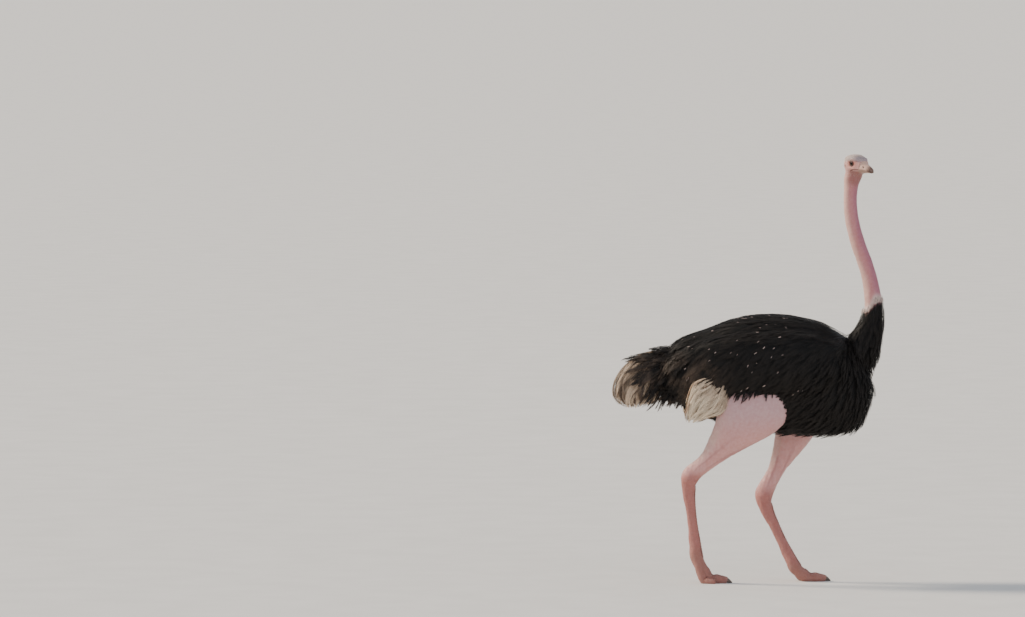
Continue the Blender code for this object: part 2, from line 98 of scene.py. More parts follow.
def step(value: Array, none: float, full: float) -> Array:
    """A smooth change from 0 at one value to 1 at the other, which may be the lesser."""
    u = np.clip((value - none) / (full - none), 0.0, 1.0)
    return u * u * (3.0 - 2.0 * u)


def unit(vectors: Array) -> Array:
    """The vectors at length 1."""
    return vectors / np.maximum(np.linalg.norm(vectors, axis=-1, keepdims=True), 1e-12)


def mixed(first: object, second: object, share: Array) -> Array:
    """Rows of numbers mixed with others, by a share of the second for each row."""
    share = share[:, None]
    return np.asarray(first) * (1.0 - share) + np.asarray(second) * share


def spot(x: Array, y: Array, middle: Pair, size: Pair) -> Array:
    """A round hump of height 1, given its middle and how far it spreads each way."""
    return np.exp(-(((x - middle[0]) / size[0]) ** 2) - ((y - middle[1]) / size[1]) ** 2)


def flattened(heading: Array, out: Array) -> Array:
    """Headings laid flat on a surface with the given ways out, at length 1."""
    return unit(heading - out * np.sum(heading * out, axis=1, keepdims=True))


def soft_least(a: Array, b: Array, blend: float) -> Array:
    """The lesser of two distances, with a fillet of about blend where they are equal."""
    h = np.clip(0.5 + 0.5 * (b - a) / blend, 0.0, 1.0)
    return b + (a - b) * h - blend * h * (1.0 - h)


def ripple(points: Array, size: float, seed: int) -> Array:
    """An even, aimless waviness between about -1 and 1, of the given size in metres."""
    rng = np.random.default_rng(seed)
    total = np.zeros(points.shape[:-1])
    for _ in range(7):
        heading = unit(rng.normal(size=3)) * rng.uniform(0.7, 1.5)
        total += np.sin(points @ heading * (TURN / size) + rng.uniform(0.0, TURN))
    return total / 4.0


def sample_rows(rows: Rows, places: Array) -> Array:
    """Rows of numbers, read between their stations.

    Args:
        rows: The stations, each a row of numbers.
        places: Places on the smooth curve through them, from 0 to 1.

    Returns:
        One row for each place.
    """
    table = np.asarray(rows, float)
    table = np.vstack([2 * table[0] - table[1], table, 2 * table[-1] - table[-2]])
    place = np.clip(places, 0.0, 1.0) * (len(rows) - 1)
    i = np.minimum(place.astype(int), len(rows) - 2)
    u = (place - i)[:, None]
    a, b, c, d = table[i], table[i + 1], table[i + 2], table[i + 3]
    return 0.5 * (2 * b + (c - a) * u + (2 * a - 5 * b + 4 * c - d) * u**2 + (3 * b - a - 3 * c + d) * u**3)


def ring_angles(count: int) -> Array:
    """Angles evenly round a ring, in radians."""
    return TURN * np.arange(count) / count


def superellipse(angle: Array, power: float) -> tuple[Array, Array]:
    """The cosine and sine of points on a superellipse of unit size."""
    c, s = np.cos(angle), np.sin(angle)
    return np.sign(c) * np.abs(c) ** (2 / power), np.sign(s) * np.abs(s) ** (2 / power)


# Meshes


@dataclass(frozen=True)
class Patch:
    """A rectangle of the skin's unwrap."""

    left: float
    low: float
    right: float
    high: float

    def spread(self, along: Array, around: Array) -> Array:
        """The unwrap's coordinates of places from 0 to 1 along and around a part."""
        u = self.left + (self.right - self.left) * along
        v = self.low + (self.high - self.low) * around
        return np.stack([u, v], axis=-1)


class Unwrap(Enum):
    """Where each part of the skin lies on its unwrap."""

    TRUNK = Patch(0.01, 0.01, 0.60, 0.99)
    NECK = Patch(0.61, 0.01, 0.78, 0.99)
    LEG_LEFT = Patch(0.79, 0.01, 0.88, 0.70)
    LEG_RIGHT = Patch(0.89, 0.01, 0.98, 0.70)
    TOES = Patch(0.79, 0.71, 0.98, 0.99)


def new_object(name: str, mesh: Mesh, helper: bool = False) -> Object:
    """An object of that mesh, linked to the scene, and hidden where it only helps to make a piece."""
    obj = bpy.data.objects.new(name, mesh)
    bpy.context.scene.collection.objects.link(obj)
    obj.hide_render = helper
    return obj


def mesh_from(name: str, points: Array, faces: Sequence[Sequence[int]]) -> Mesh:
    """A mesh of points and faces, shaded smooth."""
    mesh = bpy.data.meshes.new(name)
    mesh.from_pydata(points.reshape(-1, 3).tolist(), [], [list(face) for face in faces])
    mesh.shade_smooth()
    return mesh


def grid_faces(rows: int, columns: int, closed: bool = True) -> Array:
    """The quads of a grid of points, whose columns run round and meet where it is closed."""
    i, j = np.meshgrid(np.arange(rows - 1), np.arange(columns if closed else columns - 1), indexing="ij")
    k = (j + 1) % columns
    quads = np.stack([i * columns + j, i * columns + k, (i + 1) * columns + k, (i + 1) * columns + j], -1)
    return quads.reshape(-1, 4)


def tube_mesh(name: str, grid: Array, patch: Patch = Patch(0.0, 0.0, 1.0, 1.0)) -> Mesh:
    """A closed tube through rings of points, with domed caps and its own unwrap.

    Args:
        name: The mesh's name.
        grid: Rings of points, rows by columns by 3.
        patch: The rectangle of the unwrap that it fills.

    Returns:
        The mesh, with its faces pointing out.
    """
    rows, columns = grid.shape[:2]
    quads = grid_faces(rows, columns)
    caps = np.stack([grid[0].mean(0), grid[-1].mean(0)])
    points = np.vstack([grid.reshape(-1, 3), caps])
    j = np.arange(columns)
    k = (j + 1) % columns
    first, last = rows * columns, rows * columns + 1
    fans = [(first, b, a) for a, b in zip(j, k)]
    fans += [(last, (rows - 1) * columns + a, (rows - 1) * columns + b) for a, b in zip(j, k)]
    mesh = mesh_from(name, points, quads.tolist() + fans)
    i_of, j_of = np.divmod(np.arange(len(quads)), columns)
    along = np.stack([i_of, i_of, i_of + 1, i_of + 1], -1) / (rows - 1)
    around = np.stack([j_of, j_of + 1, j_of + 1, j_of], -1) / columns
    cap_along = np.repeat([0.0, 1.0], columns)[:, None].repeat(3, 1)
    cap_around = np.stack([np.tile(j, 2), np.tile(j, 2), np.tile(j + 1, 2)], -1) / columns
    places = (patch.spread(u, v).reshape(-1, 2) for u, v in ((along, around), (cap_along, cap_around)))
    set_map(mesh, "unwrap", np.vstack(list(places)))
    turn_outwards(mesh)
    return mesh


def turn_outwards(mesh: Mesh) -> None:
    """Points the faces of a closed mesh outwards."""
    build = bmesh.new()
    build.from_mesh(mesh)
    bmesh.ops.recalc_face_normals(build, faces=build.faces)
    if build.calc_volume(signed=True) < 0:
        bmesh.ops.reverse_faces(build, faces=build.faces)
    build.to_mesh(mesh)
    build.free()


def store(mesh: Mesh, **attributes: Array) -> None:
    """Stores a number, vector or colour at each point of a mesh, by the attribute's name."""
    kinds = {1: ("FLOAT", "value"), 3: ("FLOAT_VECTOR", "vector"), 4: ("FLOAT_COLOR", "color")}
    for name, values in attributes.items():
        kind, key = kinds[1 if values.ndim == 1 else values.shape[1]]
        attribute = mesh.attributes.get(name) or mesh.attributes.new(name, kind, "POINT")
        attribute.data.foreach_set(key, values.astype(np.float32).ravel())


def set_map(mesh: Mesh, name: str, places: Array) -> None:
    """Gives a mesh a flat map, with a place for each corner of its faces."""
    mesh.uv_layers.new(name=name).data.foreach_set("uv", places.astype(np.float32).ravel())


def read(items: Sequence, key: str, width: int = 1, kind: type = np.float32) -> Array:
    """What each item of a mesh has.

    Args:
        items: Its points, edges, faces, corners or an attribute's values.
        key: What is read from each, such as co or normal.
        width: How many numbers each has.
        kind: The kind of number that Blender keeps there.

    Returns:
        One number for each item, or one row where the width is over 1.
    """
    values = np.empty(len(items) * width, kind)
    items.foreach_get(key, values)
    return values.reshape(-1, width) if width > 1 else values


def points_of(mesh: Mesh) -> Array:
    """The points of a mesh, as rows of x, y and z."""
    return read(mesh.vertices, "co", 3).astype(float)


def normals_of(mesh: Mesh) -> Array:
    """The normals at the points of a mesh."""
    return read(mesh.vertices, "normal", 3).astype(float)


def corners_of(mesh: Mesh) -> Array:
    """The point at each corner of a mesh's faces."""
    return read(mesh.loops, "vertex_index", kind=np.int32)


def faces_of(mesh: Mesh) -> list[list[int]]:
    """The points round each face of a mesh."""
    return [list(face.vertices) for face in mesh.polygons]


def set_points(mesh: Mesh, points: Array) -> None:
    """Moves the points of a mesh."""
    mesh.vertices.foreach_set("co", points.astype(np.float32).ravel())
    mesh.update()


def baked(obj: Object) -> Object:
    """The object with its modifiers made into its mesh and taken off."""
    graph = bpy.context.evaluated_depsgraph_get()
    mesh = bpy.data.meshes.new_from_object(obj.evaluated_get(graph), depsgraph=graph)
    old = obj.data
    obj.modifiers.clear()
    obj.data = mesh
    bpy.data.meshes.remove(old)
    return obj


def joined(name: str, meshes: Sequence[Mesh]) -> Object:
    """One object that holds copies of all the meshes."""
    build = bmesh.new()
    for mesh in meshes:
        build.from_mesh(mesh)
    made = bpy.data.meshes.new(name)
    build.to_mesh(made)
    build.free()
    made.shade_smooth()
    return new_object(name, made)


def node_union(name: str, nodes: Sequence[str], voxel: float, rounds: int) -> Object:
    """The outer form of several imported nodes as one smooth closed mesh.

    Args:
        name: The object's name.
        nodes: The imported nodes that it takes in.
        voxel: The grain of the mesh.
        rounds: How many times the result is smoothed.

    Returns:
        The object, which isn't part of the model yet.
    """
    copies = []
    for node in nodes:
        build = bmesh.new()
        build.from_mesh(frame["nodes"][node].data)
        bmesh.ops.remove_doubles(build, verts=build.verts, dist=1e-5)
        mesh = bpy.data.meshes.new(node + "_copy")
        build.to_mesh(mesh)
        build.free()
        copies.append(mesh)
    obj = joined(name, copies)
    for mesh in copies:
        bpy.data.meshes.remove(mesh)
    remesh = obj.modifiers.new("one form", "REMESH")
    remesh.mode = "VOXEL"
    remesh.voxel_size = voxel
    remesh.use_smooth_shade = True
    smooth = obj.modifiers.new("rounded", "SMOOTH")
    smooth.iterations = rounds
    return baked(obj)


def ride(obj: Object, slot: str, *nodes: str) -> Object:
    """Puts a finished piece on the body and hides the nodes that it stands for."""
    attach(obj, BODY)
    if nodes:
        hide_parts(*nodes)
    LOG.info("%s: %d faces", obj.name, len(obj.data.polygons))
    return obj


# Finishes


class NodeBuilder:
    """A node tree, with short ways to add to it."""

    prefix: str = "ShaderNode"

    def __init__(self, tree: bpy.types.NodeTree) -> None:
        """Takes the tree to build."""
        self.tree = tree

    def put(self, socket: NodeSocket, value: object) -> None:
        """Links an input to a socket, or sets its value."""
        if isinstance(value, NodeSocket):
            self.tree.links.new(value, socket)
        else:
            socket.default_value = value

    def add(self, kind: str, settings: Optional[dict[str, object]] = None, **inputs: object) -> Node:
        """Adds a node.

        Args:
            kind: Its kind, whose usual prefix may be left out.
            settings: Its own settings.
            inputs: Its inputs by name: underscores stand for spaces.

        Returns:
            The node.
        """
        node = self.tree.nodes.new(kind if "Node" in kind else self.prefix + kind)
        for name, value in (settings or {}).items():
            setattr(node, name, value)
        for name, value in inputs.items():
            wanted = name.replace("_", " ").strip()
            self.put(next(s for s in node.inputs if s.name == wanted and s.enabled), value)
        return node

    def operate(self, kind: str, operation: str, *values: object) -> NodeSocket:
        """The result of a node whose inputs are given in their order: None leaves one as it is."""
        node = self.add(kind, {"operation": operation})
        for socket, value in zip(node.inputs, values):
            if value is not None:
                self.put(socket, value)
        return node.outputs[0]

    def math(self, operation: str, a: object, b: object) -> NodeSocket:
        """A sum or other operation on two numbers."""
        return self.operate("ShaderNodeMath", operation, a, b)

    def plus(self, a: object, b: object) -> NodeSocket:
        """The sum of two numbers."""
        return self.math("ADD", a, b)

    def times(self, a: object, b: object) -> NodeSocket:
        """The product of two numbers."""
        return self.math("MULTIPLY", a, b)


class Shading(NodeBuilder):
    """A material's node tree."""

    def __init__(self, name: str, roughness: float) -> None:
        """Starts a material with a plain Principled shader."""
        self.material = bpy.data.materials.new(name)
        self.material.use_nodes = True
        super().__init__(self.material.node_tree)
        self.shader = self.tree.nodes["Principled BSDF"]
        self.give(Roughness=roughness)

    def place(self, scale: Triple = (1.0, 1.0, 1.0)) -> NodeSocket:
        """The place on the object, in metres times the scale."""
        coordinates = self.add("TexCoord")
        return self.add("Mapping", Vector=coordinates.outputs["Object"], Scale=scale).outputs["Vector"]

    def attribute(self, name: str, output: str = "Fac") -> NodeSocket:
        """A number or colour stored on the mesh."""
        return self.add("Attribute", {"attribute_name": name}).outputs[output]

    def noise(self, scale: float, detail: float, place: NodeSocket) -> NodeSocket:
        """Noise from 0 to 1, scale cells to a metre."""
        return self.add("TexNoise", Vector=place, Scale=scale, Detail=detail).outputs["Fac"]

    def cells(self, scale: float, place: NodeSocket) -> NodeSocket:
        """The distance to the nearest border between scales, scale of them to a metre."""
        borders = self.add("TexVoronoi", {"feature": "DISTANCE_TO_EDGE"}, Vector=place, Scale=scale)
        return borders.outputs["Distance"]

    def between(
        self, value: NodeSocket, low: float, high: float, start: float = 0.0, end: float = 1.0
    ) -> NodeSocket:
        """The value's range from low to high, stretched to start and end."""
        node = self.add("MapRange", Value=value, From_Min=low, From_Max=high, To_Min=start, To_Max=end)
        return node.outputs["Result"]

    def mix(self, share: object, first: object, second: object, way: str = "MIX") -> NodeSocket:
        """Two colours mixed: each is a colour or a socket, and so is the share of the second."""
        node = self.add("Mix", {"data_type": "RGBA", "blend_type": way})
        for index, value in ((0, share), (6, first), (7, second)):
            self.put(node.inputs[index], (*value, 1.0) if isinstance(value, tuple) else value)
        return node.outputs[2]

    def ramp(self, value: NodeSocket, stops: Sequence[tuple[float, Triple]]) -> NodeSocket:
        """A colour for each value, through stops of (place, colour)."""
        node = self.add("ValToRGB", Fac=value)
        while len(node.color_ramp.elements) < len(stops):
            node.color_ramp.elements.new(0.5)
        for element, (place, colour) in zip(node.color_ramp.elements, stops):
            element.position = place
            element.color = (*colour, 1.0)
        return node.outputs["Color"]

    def relief(self, height: NodeSocket, depth: float, strength: float = 1.0) -> None:
        """Raises the surface by height times depth, in metres, over any relief it has."""
        bump = self.add("Bump", Height=height, Distance=depth, Strength=strength)
        normal = self.shader.inputs["Normal"]
        if normal.links:
            self.put(bump.inputs["Normal"], normal.links[0].from_socket)
        self.put(normal, bump.outputs["Normal"])

    def give(self, **values: object) -> None:
        """Gives the shader's own sockets their values or links, by name: underscores stand for spaces."""
        for name, value in values.items():
            self.put(self.shader.inputs[name.replace("_", " ")], value)


@dataclass(frozen=True)
class SkinFinish:
    """Bare skin: the tint stored on the mesh, mottled, with fine creases, and scales where it is scaly."""

    roughness: float = 0.52
    grain: float = 0.00022
    crease: float = 0.0009

    def material(self) -> Material:
        """The material."""
        made = Shading("bare_skin", self.roughness)
        place = made.place()
        tint = made.attribute("tint", "Color")
        mottle = made.noise(62.0, 5.0, place)
        blush = made.noise(13.0, 3.0, place)
        warm = made.mix(made.between(mottle, 0.35, 0.70, 0.0, 0.35), tint, (0.80, 0.55, 0.52), "MULTIPLY")
        flushed = made.mix(made.between(blush, 0.45, 0.75, 0.0, 0.16), warm, (1.0, 0.80, 0.78), "MULTIPLY")
        scaly = made.attribute("scaly")
        plates = made.cells(210.0, place)
        joint = made.times(made.between(plates, 0.0, 0.10, 1.0, 0.0), scaly)
        made.give(Base_Color=made.mix(made.times(joint, 0.38), flushed, (0.26, 0.11, 0.09)))
        made.give(Roughness=made.between(mottle, 0.3, 0.7, self.roughness - 0.08, self.roughness + 0.10))
        made.relief(made.noise(620.0, 3.0, place), self.grain)
        folds = made.noise(150.0, 4.0, made.place((1.0, 1.0, 2.4)))
        made.relief(made.between(folds, 0.30, 0.70), self.crease, 0.8)
        made.relief(made.times(made.between(plates, 0.0, 0.16), scaly), 0.0016)
        made.give(Subsurface_Weight=0.12, Subsurface_Radius=(0.012, 0.005, 0.003), Subsurface_Scale=0.6)
        made.give(Specular_IOR_Level=0.38)
        return made.material


@dataclass(frozen=True)
class HornFinish:
    """Horn of the bill or a claw: growth lines, darker where the stored shade is high (at the tip, and on the
    bill also painted shade at the nostrils, the line of the mouth and the lower half), and a low polish.
    """

    name: str
    pale: Triple
    dark: Triple
    roughness: float = 0.38
    lines: float = 420.0

    def material(self) -> Material:
        """The material."""
        made = Shading(self.name, self.roughness)
        place = made.place()
        streak = made.noise(self.lines, 4.0, made.place((1.0, 1.0, 0.18)))
        cloud = made.noise(70.0, 4.0, place)
        body = made.mix(made.attribute("shade"), self.pale, self.dark)
        overlay_tint = made.mix(made.between(streak, 0.4, 0.7, 0.0, 0.35), body, (0.62, 0.48, 0.40), "MULTIPLY")
        clouded = made.mix(made.between(cloud, 0.45, 0.75, 0.0, 0.35), overlay_tint, (0.75, 0.55, 0.50), "MULTIPLY")
        made.give(Base_Color=clouded)
        made.give(Roughness=made.between(streak, 0.3, 0.7, self.roughness - 0.06, self.roughness + 0.14))
        made.relief(streak, 0.00035)
        made.relief(cloud, 0.0006)
        made.give(Specular_IOR_Level=0.5, Coat_Weight=0.08, Coat_Roughness=0.3)
        return made.material


@dataclass(frozen=True)
class EyeFinish:
    """A wet eye: a wide dark pupil, a brown iris with fine rays, and a dark surround."""

    pupil: float = 0.29
    iris: float = 0.63

    def material(self) -> Material:
        """The material. The stored ring is the angle from the eye's axis, in radians."""
        made = Shading("eye", 0.06)
        rays = made.noise(900.0, 3.0, made.place())
        ring = made.plus(made.attribute("ring"), made.between(rays, 0.2, 0.8, -0.012, 0.012))
        stops = (
            (self.pupil - 0.02, (0.0015, 0.0012, 0.0012)),
            (self.pupil + 0.02, (0.050, 0.021, 0.010)),
            (0.5 * (self.pupil + self.iris), (0.085, 0.036, 0.016)),
            (self.iris - 0.03, (0.040, 0.018, 0.010)),
            (self.iris + 0.03, (0.006, 0.005, 0.005)),
            (0.90, (0.030, 0.018, 0.016)),
        )
        rough = made.between(rays, 0.4, 0.6, 0.0, 0.25)
        made.give(Base_Color=made.mix(rough, made.ramp(ring, stops), (0.5, 0.4, 0.35), "MULTIPLY"))
        made.give(Coat_Weight=0.12, Coat_Roughness=0.03, Specular_IOR_Level=0.22)
        return made.material


class PlumeColour(Enum):
    """Root, middle, tip and stray tip colours of each kind of plume."""

    BLACK = ((0.0030, 0.0028, 0.0030), (0.0042, 0.0038, 0.0038), (0.0125, 0.0095, 0.0080), (0.62, 0.55, 0.46))
    WHITE = ((0.38, 0.28, 0.20), (0.66, 0.51, 0.38), (0.84, 0.70, 0.53), (0.40, 0.25, 0.16))
    TAIL = ((0.012, 0.010, 0.009), (0.36, 0.26, 0.185), (0.64, 0.50, 0.375), (0.105, 0.070, 0.050))
    COLLAR = ((0.52, 0.37, 0.34), (0.64, 0.49, 0.44), (0.72, 0.59, 0.52), (0.56, 0.42, 0.38))
    DOWN = ((0.46, 0.31, 0.32), (0.60, 0.45, 0.44), (0.80, 0.66, 0.59), (0.30, 0.22, 0.18))
    LASH = ((0.010, 0.008, 0.007), (0.012, 0.010, 0.009), (0.02, 0.015, 0.012), (0.02, 0.015, 0.012))


@dataclass(frozen=True)
class Wash:
    """A colour that comes in over part of the bird, by place: painted shade on the front of the crown's down,
    and painted glints of light on the black plumes of the rear flank.
    """

    colour: Triple
    along: Pair  # x where it is absent and where it is full
    down: Pair  # z where it is absent and where it is full
    patches: Pair = (0.40, 0.62)  # the same, for the height of a slow noise


@dataclass(frozen=True)
class PlumeFinish:
    """A feather: colour from root to tip, uneven from plume to plume, with a soft sheen."""

    name: str
    colours: PlumeColour
    roughness: float = 0.62
    strays: float = 0.02  # share of the plumes whose tips take the stray colour
    switch: Pair = (0.45, 0.80)  # where the middle colour and the tip colour are reached
    uneven: float = 0.25
    speck: Pair = (0.62, 0.80)  # where along a stray plume its own tip colour comes in
    wash: Optional[Wash] = None

    def material(self) -> Material:
        """The material. The stored reach runs from 0 at a plume's root to 1 at its tip."""
        made = Shading(self.name, self.roughness)
        root, middle, tip, stray = self.colours.value
        reach = made.attribute("reach")
        tuft = made.attribute("tuft")
        place = made.place()
        wander = made.between(made.noise(17.0, 3.0, place), 0.3, 0.7, -0.5, 0.5)
        moved = made.plus(reach, made.times(wander, self.uneven))
        stops = ((0.0, root), (self.switch[0], middle), (self.switch[1], tip))
        along = made.ramp(made.plus(moved, made.between(tuft, 0.0, 1.0, -0.12, 0.12)), stops)
        odd = made.times(made.between(tuft, 1.0 - self.strays, 1.0 - self.strays + 0.002), reach)
        if self.wash is not None:
            axis = made.add("SeparateXYZ", Vector=place).outputs
            over, under = made.between(axis["X"], *self.wash.along), made.between(axis["Z"], *self.wash.down)
            there = made.times(over, under)
            patchy = made.between(made.noise(11.0, 3.0, place), *self.wash.patches)
            share = made.times(made.times(there, patchy), made.between(reach, 0.2, 0.8))
            along = made.mix(share, along, self.wash.colour)
        marked = made.mix(made.between(odd, *self.speck), along, stray)
        grain = made.between(made.noise(260.0, 2.0, place), 0.3, 0.7, 0.70, 1.25)
        turn = made.math("MODULO", made.times(tuft, 7.0), 1.0)
        lights = made.times(grain, made.between(turn, 0.0, 1.0, 0.72, 1.12))
        shades = made.add("CombineColor", Red=lights, Green=lights, Blue=lights).outputs["Color"]
        made.give(Base_Color=made.mix(1.0, marked, shades, "MULTIPLY"))
        made.give(Specular_IOR_Level=0.22, Sheen_Weight=0.03, Sheen_Roughness=0.4)
        return made.material


# The bird's lines

RUMP_X = -0.462  # hindmost point of the trunk, before the model was centred
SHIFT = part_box("trunk")[0].x - RUMP_X
BILL_DIP = math.radians(9)

NECK_ROWS = (
    # x, y, z, half depth, half width, from the breast to the skull
    (0.590, 0.000, 1.225, 0.104, 0.102), (0.642, 0.000, 1.322, 0.098, 0.088),
    (0.685, 0.000, 1.418, 0.078, 0.070), (0.704, 0.000, 1.510, 0.060, 0.056),
    (0.701, 0.000, 1.608, 0.048, 0.046), (0.684, 0.000, 1.708, 0.043, 0.041),
    (0.655, 0.000, 1.806, 0.041, 0.038), (0.622, 0.000, 1.898, 0.040, 0.036),
    (0.596, 0.000, 1.985, 0.039, 0.035), (0.579, 0.000, 2.075, 0.038, 0.034),
    (0.574, 0.000, 2.160, 0.037, 0.034), (0.579, -0.002, 2.232, 0.040, 0.037),
    (0.590, -0.010, 2.288, 0.049, 0.043), (0.598, -0.018, 2.335, 0.040, 0.036),
)
LEG_ROWS = {
    # x, distance from the middle, z, half depth, half width: hip, thigh, drumstick, hock, shank, toe root
    "right": (
        (0.075, 0.135, 1.140, 0.150, 0.085), (0.055, 0.150, 1.040, 0.192, 0.100),
        (-0.015, 0.152, 0.945, 0.172, 0.100), (-0.085, 0.146, 0.855, 0.122, 0.084),
        (-0.152, 0.134, 0.775, 0.080, 0.064), (-0.215, 0.118, 0.705, 0.054, 0.047),
        (-0.280, 0.100, 0.645, 0.045, 0.040), (-0.326, 0.087, 0.592, 0.047, 0.043),
        (-0.332, 0.077, 0.520, 0.034, 0.034), (-0.322, 0.069, 0.425, 0.026, 0.027),
        (-0.309, 0.062, 0.320, 0.025, 0.026), (-0.297, 0.057, 0.220, 0.031, 0.033),
        (-0.287, 0.054, 0.140, 0.036, 0.040),
    ),
    "left": (
        (0.180, 0.135, 1.120, 0.150, 0.085), (0.268, 0.150, 1.020, 0.158, 0.098),
        (0.285, 0.152, 0.925, 0.140, 0.096), (0.258, 0.144, 0.820, 0.104, 0.080),
        (0.215, 0.130, 0.725, 0.070, 0.060), (0.172, 0.114, 0.640, 0.048, 0.046),
        (0.132, 0.098, 0.560, 0.043, 0.040), (0.096, 0.085, 0.480, 0.047, 0.043),
        (0.112, 0.076, 0.402, 0.034, 0.034), (0.152, 0.068, 0.318, 0.026, 0.027),
        (0.197, 0.061, 0.222, 0.025, 0.026), (0.240, 0.056, 0.134, 0.031, 0.033),
        (0.272, 0.053, 0.074, 0.036, 0.040),
    ),
}
SKULL_ROWS = (
    # x, top, underside, half width, in the head's own frame
    (-0.082, -0.004, -0.012, 0.004), (-0.079, 0.014, -0.030, 0.018), (-0.073, 0.027, -0.044, 0.033),
    (-0.055, 0.042, -0.057, 0.045), (-0.028, 0.051, -0.062, 0.052), (0.000, 0.053, -0.060, 0.055),
    (0.020, 0.048, -0.056, 0.051), (0.036, 0.038, -0.052, 0.044), (0.050, 0.0275, -0.0490, 0.0385),
    (0.064, 0.0180, -0.0460, 0.0350),
)


@dataclass(frozen=True)
class Limb:
    """A curved limb: stations of (x, y, z, half depth, half width) from its root to its end."""

    rows: Rows
    power: float = 2.1
    ease: float = 0.01  # how far along the limb its direction is averaged

    def frames(self, places: Array) -> tuple[Array, Array, Array, Array, Array]:
        """The limb's lines at places from 0 to 1.

        Args:
            places: Places along the limb.

        Returns:
            The centre, the way it runs, the way across it, the way of its depth, and (depth, width).
        """
        row = sample_rows(self.rows, places)
        ahead, behind = (sample_rows(self.rows, places + way)[:, :3] for way in (self.ease, -self.ease))
        run = unit(ahead - behind)
        across = unit(np.array([0.0, 1.0, 0.0]) - run * run[:, 1:2])
        return row[:, :3], run, across, np.cross(across, run), row[:, 3:5]

    def grid(
        self, places: Array, columns: int, swell: Optional[Callable[[Array, Array], Array]] = None
    ) -> Array:
        """Rings of points round the limb.

        Args:
            places: Where the rings are, from 0 to 1.
            columns: Points in a ring. The first is at the back of an upright limb.
            swell: A factor on the ring's size at (place, angle).

        Returns:
            Points, rings by columns by 3.
        """
        centre, _, across, deep, size = self.frames(places)
        angle = ring_angles(columns)
        c, s = superellipse(angle, self.power)
        reach = deep[:, None] * (size[:, :1] * c)[..., None] + across[:, None] * (size[:, 1:] * s)[..., None]
        if swell:
            reach = reach * swell(places[:, None], angle[None, :])[..., None]
        return centre[:, None] + reach


def placed(rows: Rows, side: int = 1) -> Array:
    """Stations given for the left side, moved to a side and to the centred model."""
    table = np.asarray(rows, float).copy()
    table[:, 0] += SHIFT
    table[:, 1] *= side
    return table


class HeadFrame:
    """The head's own frame: its origin is midway between the eyes, +X towards the bill, +Z to the crown."""

    def __init__(self) -> None:
        """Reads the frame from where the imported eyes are."""
        boxes = [np.array(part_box("eye_" + word)) for _, word in SIDES]
        left, right = (box.mean(0) for box in boxes)
        self.origin = (left + right) / 2
        self.eye_offset = float(np.linalg.norm(left - right) / 2)
        self.eye_radius = float((boxes[0][1] - boxes[0][0])[2] / 2)
        across = unit(left - right)
        level = np.cross(across, [0.0, 0.0, 1.0])
        forward = level * math.cos(BILL_DIP) - np.array([0.0, 0.0, math.sin(BILL_DIP)])
        self.axes = np.stack([forward, across, np.cross(forward, across)])

    def inside(self, points: Array) -> Array:
        """Points of the model in the head's frame."""
        return (points - self.origin) @ self.axes.T

    def outside(self, points: Array) -> Array:
        """Points of the head's frame in the model's."""
        return points @ self.axes + self.origin

    def turned(self, vectors: Array) -> Array:
        """Directions of the head's frame in the model's."""
        return vectors @ self.axes


HEAD = HeadFrame()


# Skin


